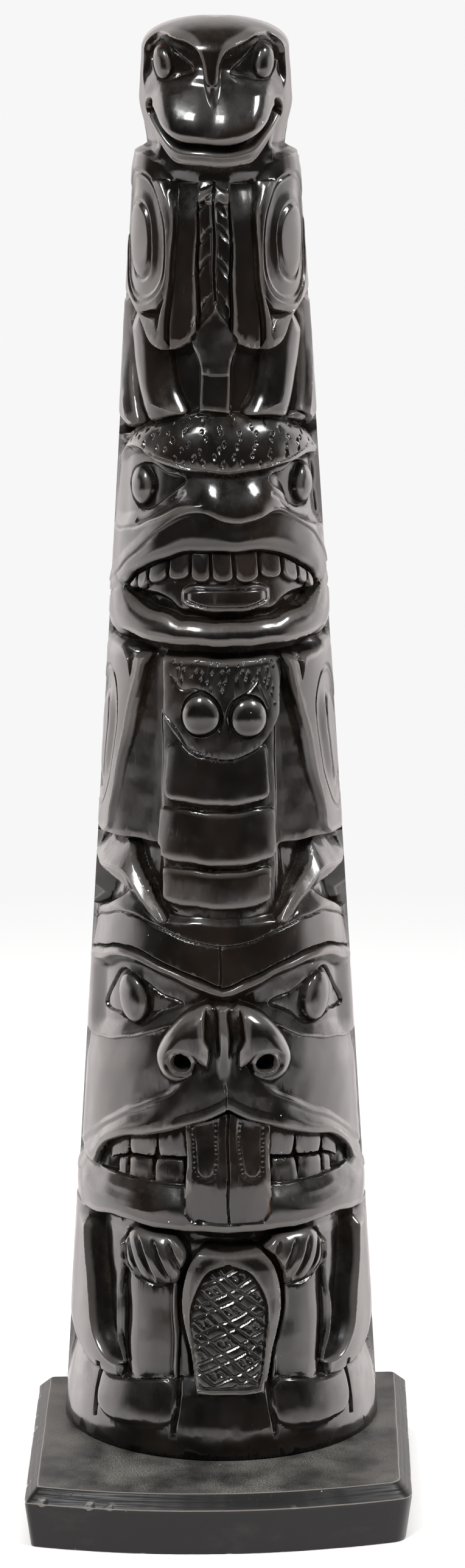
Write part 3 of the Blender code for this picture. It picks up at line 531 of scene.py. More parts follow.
# Skull, sunk sockets, cheeks, a nose raised as (1 - q^2)^1.1, a rolled lip, the mouth with its teeth and
# tongue, and the lower lip's roll, a sine of the share of its height.
def carveWideHead(level, x, z):
    v = wideHead
    u = np.abs(x - v["middle"])
    n = np.abs(x - v["noseMiddle"])
    top = v["domeTop"] - v["domeFall"] * u * u
    brow = follow(u, *v["brow"])
    under = follow(u, *v["under"])
    fold = follow(n, *v["fold"])
    rim = follow(u, *v["rim"])
    lower = follow(u, *v["lower"])
    chin = follow(u, *v["chin"])
    over = np.clip((z - (top - v["domeDeep"])) / v["domeDeep"], 0, 1)
    skull = above(z, brow + 0.1) * below(z, top - 0.4, 0.5)
    bald = 0.5 - 0.5 * ramp(u, 22, 34) - 0.09 * (z - brow)
    level = lay(level, skull, bald - 5.0 * (1 - np.sqrt(1 - over ** 2.6)))
    level = headCuts(level, x, z)
    socket = below(z, brow - 0.75, 0.85) * above(z, under + 0.25, 0.55) * below(u, 37, 4)
    depth = v["socketDepth"] - 1.5 * ramp(u, 15, 34) - 1.3 * ramp(under + 4 - z, 0, 4)
    level = lay(level, socket, -depth)
    thick = 0.5 + 1.5 * ramp(x, 8, 26) + 0.9 * ramp(-x, 2, 10) * ramp(x, -20.4, -14)
    facet = below(z, brow + 0.1, 0.35) * above(z, brow - thick, 0.4) * above(x, -20, 1.5) * below(x, 35, 3)
    level = lay(level, facet, 0.2 - 0.3 * (brow - z))
    cheek = below(z, under, 0.55) * above(z, fold)
    level = lay(level, cheek, v["cheekLevel"] - 0.5 * ramp(z - fold, 0.5, 4))
    nose = oval(n, z, (0, v["noseMiddleHeight"]), v["nose"], 0, 2.3)
    raised = v["noseFoot"] + v["noseRise"] * np.clip(1 - nose * nose, 0, 1) ** 1.1
    level = level + np.clip(raised - level, 0, None) * above(z, fold - 0.1, 0.45)
    lids = outlineDistance(u, z, v["lids"])
    level = lay(level, below(lids, 0, 0.35), level - 0.55 - 0.5 * ramp(u, 22, 13))
    level = incise(level, np.abs(lids), 0.45, 0.3)
    level = incise(level, lineDistance(u, z, v["tearLine"]), 0.8, 0.35)
    eye = oval(u, z, v["eye"], v["eyeHalf"], v["eyeTurn"])
    level = lay(level, below(eye, 0.99, 0.05), v["eyeFloor"] + v["eyeRise"] * dome(np.minimum(eye, 0.985)))
    lip = below(z, fold, 0.55) * above(z, rim, 0.45)
    drop = np.clip((fold - z) / np.maximum(fold - rim, 1.0), 0, 1)
    outer = ramp(n, 9, 22)
    rolled = follow(drop, *v["rolled"])
    level = lay(level, lip, rolled + outer * follow(drop, *v["outerLip"]))
    mouth = below(z, rim, 0.45) * above(z, lower, 0.55) * below(u, v["mouthHalf"], 0.6)
    level = lay(level, mouth, -v["mouthDepth"])
    gum = follow(u, *v["gum"])
    level = lay(level, above(z, gum, 0.6) * mouth, v["plateLevel"] - 0.3 * ramp(z, 221, 224))
    foot = follow(u, *v["foot"])
    roundness = v["toothRoundness"]
    for left, right in zip(v["toothEdges"][:-1], v["toothEdges"][1:]):
        middle = (left + right) / 2
        half = (right - left) / 2
        across = np.abs(x - middle) / half
        ends = foot + 0.35 * math.sin(3.1 * middle)
        tip = np.clip((ends + 2.4 - z) / 2.5, 0, 1.2)
        around = (np.clip(across, 0, 2) ** roundness + tip ** roundness) ** (1 / roundness)
        tooth = (1 - ramp(around, 0.9, 1.03)) * below(z, rim - 0.2, 0.25)
        face = v["toothLevel"] + 0.16 * (226 - z) - 0.7 * ramp(around, 0.68, 1.0) ** 1.5
        level = lay(level, tooth, face)
    tongue = oval(x, z, v["tongue"], v["tongueHalf"], 0, 3.2)
    slope = 0.13 * (v["tongue"][1] - z)
    level = lay(level, below(tongue, 0.97, 0.05), v["tongueLevel"] - 0.5 * ramp(tongue, 0.5, 1.0) + slope)
    groove = oval(x, z, (v["tongue"][0] + 0.2, v["tongue"][1]), v["grooveHalf"], 0, 3.2)
    level = level - v["grooveDepth"] * np.exp(-((groove - 1) / 0.09) ** 2)
    share = np.clip((z - chin) / np.maximum(lower - chin, 1), 0, 1)
    roll = below(z, lower) * above(z, chin, 0.3) * below(u, v["rollHalf"], 5)
    rounded = np.sin(np.pi * (share * 0.86 + 0.12)) ** 0.8
    level = lay(level, roll, v["rollLevel"] + v["rollRise"] * rounded)
    shade = below(z, chin, 0.3) * above(z, v["throatFoot"], 0.8) * below(u, v["throatHalf"], 4)
    return lay(level, shade, v["throatLevel"])


finsAndRings = {
    "middle": -0.9,
    "smallHeadMiddle": 1.1,
    "finLevel": 0.15,
    "smallHeadLevel": -1.8,
    "eyes": ((-4.3, 192.1, 5.0), (7.5, 191.5, 4.8)),
    "eyeRise": 2.4,
    "rings": (                 # foot, top, half width and backward tilt of each
        (171.2, 184.6, 14.0, 0.09), (157.0, 169.5, 16.4, 0.05), (146.8, 155.6, 15.0, 0.01)),
    "ringLevel": -1.2,
    "ringFloor": -2.9,
    "lip": (144.0, 146.4),
    "punchLength": 1.05,
    "punchWidth": 0.42,
    "punchDepth": 0.36,
    "earMiddle": 0.7,
    "earLevel": 0.1,
    "earFold": 0.62,
    "earHollow": 5.6,
    "edge": (
        (140, 36), (160.5, 34.4), (163, 31.2), (168, 30), (179, 26.5), (190.5, 23), (198, 20.5), (206, 18),
        (212, 17)),
    "spike": ((19.6, 206.6), (22.4, 205.4), (26.4, 206.2), (23.6, 203.2), (22.5, 198.8), (21.4, 203)),
    "half": (
        (130, 0), (181.6, 0.5), (182.2, 4.8), (183.6, 8.8), (186.6, 12.4), (189.6, 14.9), (192.4, 16.2),
        (215, 16.2)),
    "headTop": ((10, 143), (20, 146.5), (27.7, 148.2), (34, 144.8), (44, 141), (60, 136)),
    "crease": ((10, 139), (16.2, 144.8), (22.6, 150.4), (27.6, 153.4), (40, 153.2), (52, 154.6)),
    "ear": (
        (50, 157.6), (31.2, 160.4), (25.4, 155.8), (19, 149.8), (14.0, 143.6), (18.2, 143.4), (24.6, 146.9),
        (38.6, 152.2), (52, 153)),
    "finFoot": 161.2,
    "finTop": 206.3,
    "outerOval": ((36.8, 183.4), (7.8, 17.6), -15, 2.4),
    "innerOval": ((37.4, 183.4), (3.4, 11.4), -12, 2.4),
    "spikeDepth": 1.5,
    "smallHeadTop": 206,
    "smallHeadFoot": 181.7,
    "punchRows": 6,
    "punchesARow": 13,
    "punchTop": 204.0,
    "punchRowStep": 2.05,
    "punchFrom": -11.4,
    "punchTo": 15.6,
    "punchStep": 2.3,
    "headLines": (             # cuts over the small head's brows and cheeks
        ((-12.4, 200.4), (-9.6, 197.6), (-5.6, 197.8), (-1.4, 196.2), (0.9, 192.6), (0.4, 188.6)),
        ((10.0, 199.6), (7.2, 197.0), (3.6, 195.2), (2.0, 192.0), (2.9, 188.4)),
        ((10.6, 198.4), (11.6, 196.2), (13.2, 193.2)),
        ((-15.6, 192.4), (-12.4, 189.9), (-9.8, 187.0), (-7.6, 184.2), (-3.4, 182.9))),
    "eyeFloor": -2.0,
    "bodyHalf": 16.0,
    "bodyFoot": 143.6,
    "bodyTop": 191.5,
    "ringMiddle": -0.6,
    "lipHalf": 11.5,
    "lipLevel": -3.0,
    "earFrom": 17.5,
    "earTop": 160.4,
}


# Short punches scattered over the small head's crown, in rows that end lower at its right side.
def smallPunches(level, x, z):
    v = finsAndRings
    for row in range(v["punchRows"]):
        height = v["punchTop"] - v["punchRowStep"] * row
        for place in range(v["punchesARow"]):
            cx = v["punchFrom"] + v["punchStep"] * place + 0.9 * (row % 2) + 0.5 * math.sin(3.7 * place + row)
            lowest = 198.8 - 2.2 * math.exp(-((cx - 0.8) / 2.4) ** 2) - 8.2 / (1 + math.exp(12.6 - cx))
            cz = height + 0.4 * math.sin(5.1 * place + 2 * row)
            if cz < lowest or cx > v["punchTo"]:
                continue
            half = v["punchLength"] / 2
            start = (cx - 0.2, cz - half)
            end = (cx + 0.2, cz + half)
            level = gouge(level, x, z, start, end, v["punchWidth"], v["punchDepth"])
    return level


# Fins with two dished ovals, the small head with its eyes, and the ringed body: each ring is a superellipse
# of power 8 that falls away as x^2 and leans back by its tilt.
def carveFinsAndRings(level, x, z):
    v = finsAndRings
    u = np.abs(x - v["middle"])
    edge = follow(z, *v["edge"])
    fin = above(u, edge + 0.05, 0.6) * above(z, v["finFoot"] - 0.035 * (u - 30), 0.6)
    fin = fin * below(z, v["finTop"], 0.9)
    level = lay(level, fin, v["finLevel"] - 0.5 * ramp(z, 203, 207))
    outer = oval(u, z, *v["outerOval"])
    sunk = below(outer, 0.92, 0.04) * above(outer, 0.62, 0.13)
    dish = np.exp(-((outer - 0.985) / 0.03) ** 2) * 0.55 + 0.7 * sunk
    inner = oval(u, z, *v["innerOval"])
    level = level - (dish + 0.4 * np.exp(-((inner - 1) / 0.085) ** 2)) * fin
    spike = outlineDistance(u, z, v["spike"], False, 3)
    level = level - v["spikeDepth"] * np.clip(-spike / 0.9, 0, 1)
    k = np.abs(x - v["smallHeadMiddle"])
    half = follow(z, *v["half"])
    head = below(k, half, 0.28) * below(z, v["smallHeadTop"], 0.4) * above(z, v["smallHeadFoot"], 0.25)
    level = lay(level, head, v["smallHeadLevel"] - 0.004 * k * k - 0.5 * ramp(z, 203, 206))
    level = smallPunches(level, x, z)
    for line in v["headLines"]:
        level = incise(level, lineDistance(x, z, line), 0.38, 0.42)
    for cx, cz, radius in v["eyes"]:
        eye = np.hypot(x - cx, z - cz) / radius
        level = lay(level, below(eye, 0.94, 0.05), v["eyeFloor"] + v["eyeRise"] * dome(np.minimum(eye, 0.97)))
        level = incise(level, np.abs(eye - 1.0) * radius, 0.5, 0.7)
    body = below(np.abs(x), v["bodyHalf"], 0.5) * below(z, v["bodyTop"], 1.2) * above(z, v["bodyFoot"], 0.8)
    level = lay(level, body * (1 - head), v["ringFloor"] - 0.0035 * x * x)
    for low, high, wide, tilt in v["rings"]:
        sag = 0.0028 * x * x
        fromMiddle = z - sag - (low + high) / 2
        share = np.abs(fromMiddle) / ((high - low) / 2)
        sideways = np.abs(x - v["ringMiddle"]) / wide
        around = np.sqrt(np.clip(sideways, 0, 1.2) ** 8 + np.clip(share, 0, 1.2) ** 8)
        ring = below(around, 0.955, 0.09) * (1 - head)
        bent = v["ringLevel"] - 0.0065 * x * x - tilt * fromMiddle
        level = lay(level, ring, bent - 0.4 * np.clip(share, 0, 1) ** 6)
    lipLow, lipHigh = v["lip"]
    lip = above(z - 0.012 * x * x, lipLow, 0.3) * below(z - 0.004 * x * x, lipHigh, 0.3)
    return lay(level, lip * below(np.abs(x), v["lipHalf"], 1.5), v["lipLevel"])


# Hollow behind each ear, and a blade folded along a crease: its level falls by earFold for each millimetre
# from it.
def carveEars(level, x, z):
    v = finsAndRings
    u = np.abs(x - v["earMiddle"])
    headTop = follow(u, *v["headTop"])
    crease = follow(u, *v["crease"])
    ear = outlineDistance(u, z, v["ear"])
    blade = below(ear, 0, 0.25)
    hollow = above(u, v["earFrom"], 1.5) * below(z, v["earTop"], 0.6) * above(z, headTop + 0.7, 0.7)
    level = lay(level, hollow * (1 - blade), -v["earHollow"] - 0.14 * (z - 152))
    level = lay(level, blade, v["earLevel"] - v["earFold"] * np.abs(z - crease))
    return incise(level, np.where(ear < 0.2, np.abs(z - crease), 9), 0.4, 0.35)


beaverHead = {
    "middle": 0.8,
    "mouthMiddle": 2.0,
    "foreheadLevel": -1.0,
    "socketDepth": 3.7,
    "lip": 0.45,
    "mouthDepth": 4.1,
    "toothLevel": -2.0,
    "toothEdges": ((9.2, 10.6), (18.3, 19.0), (27.2, 27.4), (35.2, 31.2)),  # upper and lower row, outwards
    "lipRoll": 1.8,
    "noseRise": 3.3,
    "nostril": (9.4, 110.9, 2.05),
    "incisorLevel": 0.9,
    "eye": (26.4, 123.4),
    "eyeHalf": (4.9, 6.0),
    "upper": ((0, 138.0), (5.5, 138.4), (11.5, 140), (19.5, 142.5), (28, 143.2), (37, 141.4), (50, 137)),
    "lower": (
        (0, 128.3), (2.4, 128.9), (5.5, 130.1), (12.5, 132.4), (20, 134.9), (27, 135.5), (37, 133.7),
        (50, 130)),
    "rim": (
        (0, 126.6), (3, 127.1), (7, 128.6), (13, 131.0), (20, 132.9), (27.5, 133.3), (36, 131.2),
        (50, 127.6)),
    "under": (
        (0, 119), (10, 119.5), (14, 118.6), (18, 116.8), (23, 114.8), (29, 113.2), (36, 112.2), (42, 111.4),
        (50, 111)),
    "crease": ((0, 108), (8, 105.2), (14, 102), (21, 98.4), (30, 93.9), (40, 88.1), (50, 83)),
    "top": (
        (0, 99.6), (4, 97.6), (8, 95.6), (10.5, 94.8), (16.5, 92.9), (24.5, 91), (31.5, 88.4), (36, 85),
        (38.6, 81.6), (50, 76)),
    "bottom": ((0, 80.5), (24, 80.6), (31, 80.7), (36, 81.0), (38.6, 81.4), (50, 82)),
    "gap": ((0, 87), (10, 86.9), (20, 86.4), (30, 84.8), (38, 81.8)),
    "chin": ((0, 70.0), (10, 69.9), (20, 70.4), (30, 70.8), (40, 69.6), (54, 68.4)),
    "ledge": ((0, 77.0), (12, 76.8), (20, 75.2), (28, 75.3), (36, 76.4), (46, 78.6)),
    "scroll": (
        (3.0, 124.0), (8.6, 122.6), (13.4, 118.4), (16.1, 112.4), (14.8, 107.8), (10.9, 105.9),
        (7.4, 107.4), (5.6, 110.2), (3.2, 110.2), (2.6, 117)),
    "crown": ((0, 99.2), (5, 97.2), (10, 95.2), (12, 94.4)),
    "panel": (
        (2.5, 98.4), (2.4, 86), (3.2, 83.5), (5.4, 82.4), (7.6, 83.5), (8.5, 86), (8.6, 96), (6, 98.6)),
    "lids": (
        (11.6, 123.2), (18.4, 125.6), (24.4, 127.9), (30, 129.4), (34.4, 126), (38.8, 119.6), (31.6, 118.7),
        (23, 117.5), (18, 120.8)),
    "foreheadTop": 145.5,
    "seamMiddle": 0.3,
    "socketHalf": 41,
    "mouthHalf": 38.2,
    "rollLevel": -1.0,
    "throatFoot": 65.7,
    "throatHalf": 41,
    "throatLevel": -5.0,
    "noseMiddle": 1.1,
    "nostrilLevel": -3.4,
    "nostrilRing": 3.2,
    "bridgeLevel": 1.6,
    "partingMiddle": 1.4,
    "partingFoot": 99.4,
    "incisorMiddle": 2.1,
    "incisorHalf": 10.1,
    "incisorFoot": 72.4,
    "beadStep": 1.1,
    "beadHeight": 0.09,
    "eyeMiddle": 1.9,
    "eyeTurn": 22,
    "eyeFloor": -2.6,
    "eyeRise": 2.1,
}


# Superellipse round a paw, which the throat above leaves free.
def pawOval(u, z):
    v = beaverBody
    return oval(u, z, v["paw"], v["pawHalf"], v["pawTurn"], v["pawRoundness"])


# Forehead band, sunk sockets, brows, cheeks, the upper lip with its overhang, the mouth with two rows of
# teeth, the lower lip's roll, the throat, the scrolled nose with its nostrils, the incisors and the eyes.
def carveBeaverHead(level, x, z):
    v = beaverHead
    u = np.abs(x - v["middle"])
    m = np.abs(x - v["mouthMiddle"])
    upper = follow(u, *v["upper"])
    lower = follow(u, *v["lower"])
    bulge = v["foreheadLevel"] - 0.085 * (z - 132) + 0.5 * ramp(u, 12, 30)
    level = lay(level, above(z, lower, 0.3) * below(z, v["foreheadTop"], 1.5), bulge)
    level = incise(level, np.abs(z - upper), 0.42, 0.55)
    level = incise(level, np.where((z < upper) & (z > lower), np.abs(x - v["seamMiddle"]), 9), 0.42, 0.6)
    rim = follow(u, *v["rim"])
    under = follow(u, *v["under"])
    socket = below(z, rim - 1.0, 1.1) * above(z, under + 0.1, 0.45) * below(u, v["socketHalf"], 3)
    depth = v["socketDepth"] - 1.3 * ramp(u, 14, 34) - 1.3 * ramp(under + 4.5 - z, 0, 4.5)
    level = lay(level, socket, -depth)
    brow = above(z, rim - 0.2, 0.35) * below(z, lower - 0.45, 0.3)
    level = lay(level, brow, -0.75 + 0.5 * ramp(u, 12, 30) + 0.35 * ramp(lower - z, 0.4, 1.8))
    level = incise(level, np.abs(z - lower), 0.55, 0.95)
    crease = follow(u, *v["crease"])
    cheek = below(z, under, 0.35) * above(z, crease + 0.5, 1.0) * ramp(u, 8, 15)
    level = lay(level, cheek, -1.9 + 1.0 * ramp(u, 24, 44) + 0.55 * ramp(under - z, 0, 9))
    top = follow(m, *v["top"])
    lip = below(z, crease, 0.9 + 3.2 * ramp(u, 13, 4)) * above(z, top, 0.35)
    drop = np.clip((z - top) / np.maximum(crease - top, 1), 0, 1)
    fall = 0.6 * ramp(drop, 0.14, 0.0) + 1.15 * ramp(drop, 0.35, 1.0) * ramp(u, 8, 22)
    overhang = 0.75 * ramp(z - top, 3.6, 0.2) * below(m, 11.5, 2.5)
    level = lay(level, lip, v["lip"] - fall + overhang)
    bottom = follow(m, *v["bottom"])
    mouth = below(z, top, 0.25) * above(z, bottom, 0.25) * below(m, v["mouthHalf"], 0.6)
    level = lay(level, mouth, -v["mouthDepth"] * (1 - 0.55 * ramp(m, 30, 37)))
    gap = follow(m, *v["gap"])
    for inner, outer in zip(v["toothEdges"][:-1], v["toothEdges"][1:]):
        for row in (0, 1):
            left = inner[row]
            right = outer[row]
            across = np.abs(m - (left + right) / 2) / ((right - left) / 2)
            base = top + 0.3 if row == 0 else bottom - 0.3
            reach = np.abs(gap - base)
            run = np.clip((z - gap if row == 0 else gap - z) / reach, 0, 1.2)
            near = np.clip(1 - run, 0, 1)
            around = across ** 5 + (near ** 3.2) * (0.3 + across ** 2) * 0.8
            tooth = (1 - ramp(around, 0.84, 1.12)) * ramp(run, 0.01, 0.08) * mouth
            level = lay(level, tooth, v["toothLevel"] - 0.45 * across ** 4 - 0.3 * near ** 3)
    chin = follow(m, *v["chin"])
    share = np.clip((z - chin) / np.maximum(bottom - chin, 1), 0, 1)
    roll = below(z, bottom, 0.45) * above(z, chin + 0.1, 0.4) * (1 - 0.6 * ramp(m, 40, 52))
    rolled = v["lipRoll"] * np.sin(np.pi * (share * 0.74 + 0.2)) ** 0.8
    level = lay(level, roll, v["rollLevel"] + rolled - 0.5 * ramp(share, 0.7, 1.0))
    ledge = follow(m, *v["ledge"])
    level = level - 0.55 * below(z, bottom, 0.3) * ramp(z - ledge, -1.2, 2.2) * above(m, 10.6, 0.8)
    paw = pawOval(np.abs(x - beaverBody["middle"]), z)
    throat = below(z, chin - 0.1, 0.3) * above(z, v["throatFoot"], 1.2) * below(m, v["throatHalf"], 7)
    level = lay(level, throat * above(paw, 0.98, 0.06), v["throatLevel"])
    n = np.abs(x - v["noseMiddle"])
    scroll = outlineDistance(n, z, v["scroll"])
    rise = np.clip(-scroll / 4.2, 0, 1)
    puffed = -0.4 + v["noseRise"] * (1 - (1 - rise) ** 2) ** 0.6 - 0.8 * ramp(z, 117, 124)
    level = lay(level, below(scroll, 0, 0.3), puffed)
    acrossHole, alongHole, radius = v["nostril"]
    hole = np.hypot(n - acrossHole, z - alongHole)
    level = level - 0.9 * below(np.abs(hole - v["nostrilRing"]), 0.5, 0.5) * below(z, 113.2, 1.2)
    level = lay(level, below(hole, radius, 0.3), v["nostrilLevel"])
    wedge = 3.4 * ramp(z, 110.2, 117.5)
    flank = above(n, 0.9, 0.4) * below(n, 0.9 + wedge, 0.45) * above(z, 110.6, 1.2) * below(z, 124.2, 0.9)
    level = lay(level, flank, -1.5 + 1.9 * ramp(z, 118, 110.5) + 0.25 * (n - 1))
    bridge = below(n, 1.5, 0.7) * above(z, 110, 3) * below(z, 124.6, 1.0)
    slope = 1.4 * ramp(z, 118.5, 124)
    level = lay(level, bridge, v["bridgeLevel"] - slope - 0.6 * ramp(z, 118, 112) - 0.35 * n * n)
    parting = np.abs(x - v["partingMiddle"]) + 3 * ramp(z, 106, 108.5)
    level = incise(level, np.where(z > v["partingFoot"], parting, 9), 0.4, 0.45)
    t = np.abs(x - v["incisorMiddle"])
    crown = follow(t, *v["crown"])
    foot = v["incisorFoot"] + 1.9 * ramp(t, 7.6, 10.2) ** 2
    incisor = below(t, v["incisorHalf"], 0.2) * above(z, foot, 0.2) * below(z, crown, 0.2)
    level = lay(level, incisor, v["incisorLevel"] - 0.004 * t * t - 0.06 * np.abs(z - 81.5))
    panel = outlineDistance(t, z, v["panel"], True, 3)
    beads = v["beadHeight"] * np.sin(z * 2 * math.pi / v["beadStep"] + 1.3 * np.sin(z * 0.9))
    beads = beads * np.exp(-((panel + 0.55) / 0.25) ** 2)
    inset = below(panel, 0, 0.25) * below(z, crown - 0.7, 0.3)
    level = lay(level, inset, 0.1 - 0.06 * (z - 90) + beads)
    level = incise(level, np.where(z < crown - 0.5, np.abs(panel + 1.0), 9), 0.3, 0.2)
    level = incise(level, np.where((z > 72.5) & (z < crown), t, 9), 0.45, 0.7)
    e = np.abs(x - v["eyeMiddle"])
    lids = outlineDistance(e, z, v["lids"])
    level = lay(level, below(lids, 0, 0.25), level - 0.5)
    level = incise(level, np.abs(lids), 0.5, 0.55)
    eye = oval(e, z, v["eye"], v["eyeHalf"], v["eyeTurn"])
    return lay(level, below(eye, 0.99, 0.05), v["eyeFloor"] + v["eyeRise"] * dome(np.minimum(eye, 0.985)))


beaverBody = {
    "middle": 1.2,
    "haunchLevel": 0.25,
    "hollowDepth": 4.6,
    "paw": (17.6, 62.8),
    "pawHalf": (9.0, 6.6),
    "fingers": (-6.0, -2.2, 1.7, 5.6),
    "tailMiddle": 2.9,
    "panelMiddle": 2.2,
    "hatchPair": 1.15,        # half gap within a pair
    "hatchDepth": 0.36,
    "footRise": 0.9,
    "under": ((0, 33), (14, 33.4), (20, 32.6), (26, 31.6), (33, 31.6), (44, 34.2), (54, 37.4), (62, 38)),
    "hollow": (
        (43, 66), (39.6, 50), (36.8, 40.5), (32, 35.6), (25.8, 35.4), (27.6, 42), (28, 49.5), (26.6, 58),
        (27.6, 66), (30, 74), (41, 75)),
    "half": (
        (30.5, 8.1), (33, 8.5), (40, 9.8), (46, 11.2), (54, 12), (60, 10.9), (64.4, 8.2), (66.8, 4.4),
        (67.6, 0.4)),
    "wide": (
        (32.2, 7.2), (36, 7.8), (42, 8.6), (48, 9.0), (53, 8.5), (57.6, 6.8), (60.6, 4.4), (62.4, 0.3)),
    "haunchTop": 71,
    "haunchFrom": 11.8,
    "shinFrom": 12.5,
    "shinTo": 27.3,
    "shinTop": 59.5,
    "shinMiddle": 19.8,
    "pawLevel": -2.4,
    "pawRise": 4.0,
    "pawTurn": -10,
    "pawRoundness": 2.5,
    "fingerDepth": 0.8,
    "moatLevel": -4.2,
    "tailFoot": 30.6,
    "tailTop": 67.6,
    "tailLevel": 0.5,
    "panelFoot": 32.2,
    "panelTop": 62.4,
    "hatchSets": ((-0.69, -0.724, 6.9), (0.45, -0.893, 6.2)),  # direction across the lines, and their spacing
    "hatchMiddle": 47.2,
    "hatchWidth": 0.27,
    "spotDepth": 0.36,
    "spotSides": (-0.75, 0.75),
    "drum": ((14, 0.0), (22, -0.1), (27, -0.6), (31, -1.3), (34, -1.9)),
    "toe": ((23.6, 27.5), (12.2, 7.0), 0, 2.6),
    "drumCuts": (35.6, 11.6),
}


# Two sets of paired lines across the tail, leaning 44 and 27 degrees, and two small cuts in each diamond
# between: exp(-(distance / width)^2) for the lines and a round cap for the cuts.
def tailHatch(level, x, z, edge):
    v = beaverBody
    field = below(edge, -0.5, 0.3)
    marks = np.zeros_like(level)
    sets = v["hatchSets"]
    phases = []
    for across, along, step in sets:
        phase = (x - v["panelMiddle"]) * across + (z - v["hatchMiddle"]) * along
        shifted = (phase + step / 2) % step - step / 2
        phases.append(shifted / step)
        line = np.abs(np.abs(shifted) - v["hatchPair"])
        marks = np.maximum(marks, np.exp(-(line / v["hatchWidth"]) ** 2))
    level = level - v["hatchDepth"] * marks * field
    first = (phases[0] % 1.0 - 0.5) * sets[0][2]
    second = (phases[1] % 1.0 - 0.5) * sets[1][2]
    for side in v["spotSides"]:
        spot = np.hypot((first - side) / 0.42, (second + 0.4 * side) / 1.0)
        level = level - v["spotDepth"] * dome(np.minimum(spot, 1)) * field
    return level


# Haunches, the hollows beside them, shins, paws with their fingers, the tail with its panel, and the drum
# with a rounded toe on either side.
def carveBeaverBody(level, x, z):
    v = beaverBody
    u = np.abs(x - v["middle"])
    under = follow(u, *v["under"])
    haunch = above(z, under + 0.1, 0.3) * above(u, v["haunchFrom"], 0.6) * below(z, v["haunchTop"], 2)
    level = lay(level, haunch, v["haunchLevel"] - 0.9 * np.exp(-np.clip(z - under, 0, 9) / 1.6))
    hollow = outlineDistance(u, z, v["hollow"])
    level = lay(level, ramp(-hollow, -0.3, 2.9), -v["hollowDepth"])
    shin = below(u, v["shinTo"], 0.8) * above(u, v["shinFrom"], 0.9) * above(z, under + 0.2, 0.4)
    shin = shin * below(z, v["shinTop"], 1.5) * above(hollow, 0.1, 0.3)
    rounded = -0.2 - 2.6 * ((u - v["shinMiddle"]) / 8) ** 2
    level = lay(level, shin, rounded - 0.9 * np.exp(-np.clip(z - under, 0, 9) / 1.8))
    paw = pawOval(u, z)
    palm = below(paw, 0.96, 0.06)
    lean = (u - v["paw"][0]) - 0.42 * (z - v["paw"][1])
    level = lay(level, palm, v["pawLevel"] + v["pawRise"] * dome(np.minimum(paw, 0.98)) ** 0.9)
    for finger in v["fingers"]:
        cut = np.exp(-((lean - finger) / 0.6) ** 2) * palm * ramp(68.4 - z, 0, 3) * ramp(z, 56.6, 59.5)
        level = level - v["fingerDepth"] * cut
    w = np.abs(x - v["tailMiddle"])
    half = follow(z, *v["half"])
    moat = below(w - half, 0.85, 0.75) * above(z, 34, 1) * below(z, 67, 1)
    level = lay(level, moat, v["moatLevel"])
    arch = below(w, half, 0.3) * above(z, v["tailFoot"], 0.35) * below(z, v["tailTop"], 0.4)
    curl = 3.4 * np.clip((z - 60) / 7.6, 0, 1) ** 2.2
    level = lay(level, arch, v["tailLevel"] - curl - 0.01 * np.clip(w - 8, 0, 5) ** 2)
    p = np.abs(x - v["panelMiddle"])
    wide = follow(z, *v["wide"])
    edge = np.maximum(p - wide, np.maximum(v["panelFoot"] - z, z - v["panelTop"]))
    leaning = 0.1 - 0.035 * (z - 32) - 0.9 * np.clip((z - 57) / 6, 0, 1) ** 2
    level = lay(level, below(edge, 0, 0.25), leaning)
    level = tailHatch(level, x, z, edge)
    level = incise(level, np.abs(edge), 0.45, 0.55)
    low = below(z, under - 0.2, 0.4)
    drum = np.interp(z, *np.array(v["drum"]).T)
    level = lay(level, low * ramp(u, 9, 11), drum)
    toe = dome(oval(u, z, *v["toe"]))
    level = level + v["footRise"] * toe ** 0.8 * low
    for cut in v["drumCuts"]:
        near = np.where((z > 20.5) & (z < 34), np.abs(u - cut - 0.08 * (27 - z)), 9)
        level = incise(level, near, 1.0, 0.85)
    return level


# Each figure is cut over its own band of heights, from the lowest up, so that a higher one lies over its
# neighbour.
figures = (
    (0, 70, carveBeaverBody),
    (62, 152, carveBeaverHead),
    (141, 209, carveFinsAndRings),
    (141, 165, carveEars),
    (203, 262, carveWideHead),
    (250, 322, carveTopBody),
    (313, 360, carveTopHead),
)


# The whole front's level: the plain bands, then every figure, with its places strayed by slow sines.
def carvedLevel(angle, x, z):
    level = plainLevel(angle, z)
    stray = stave["toolWander"]
    x = x + stray * (np.sin(0.41 * z + 0.13 * x + 1.0) + 0.7 * np.sin(0.17 * z - 0.37 * x))
    zed = z + stray * (np.sin(0.33 * x + 0.6) + 0.6 * np.sin(0.71 * x + 0.1 * z))
    for low, high, carve in figures:
        rows = (z[:, 0] > low) & (z[:, 0] < high)
        level[rows] = carve(level[rows], x[rows], zed[rows])
    print("carved:", level.shape[0], "rows of", level.shape[1])
    return level + stave["handWork"] * handWork(x, z)


# Slight unevenness of hand-rubbed planes: half the sum of four sines that cross at odd angles, each with a
# wave of 6 to 9 mm.
def handWork(x, z):
    waves = ((0.61, 0.27, 0.3), (-0.38, 0.72, 1.9), (0.93, -0.44, 4.2), (0.12, 1.07, 2.6))
    return sum(np.sin(across * x + along * z + start) for across, along, start in waves) / 2


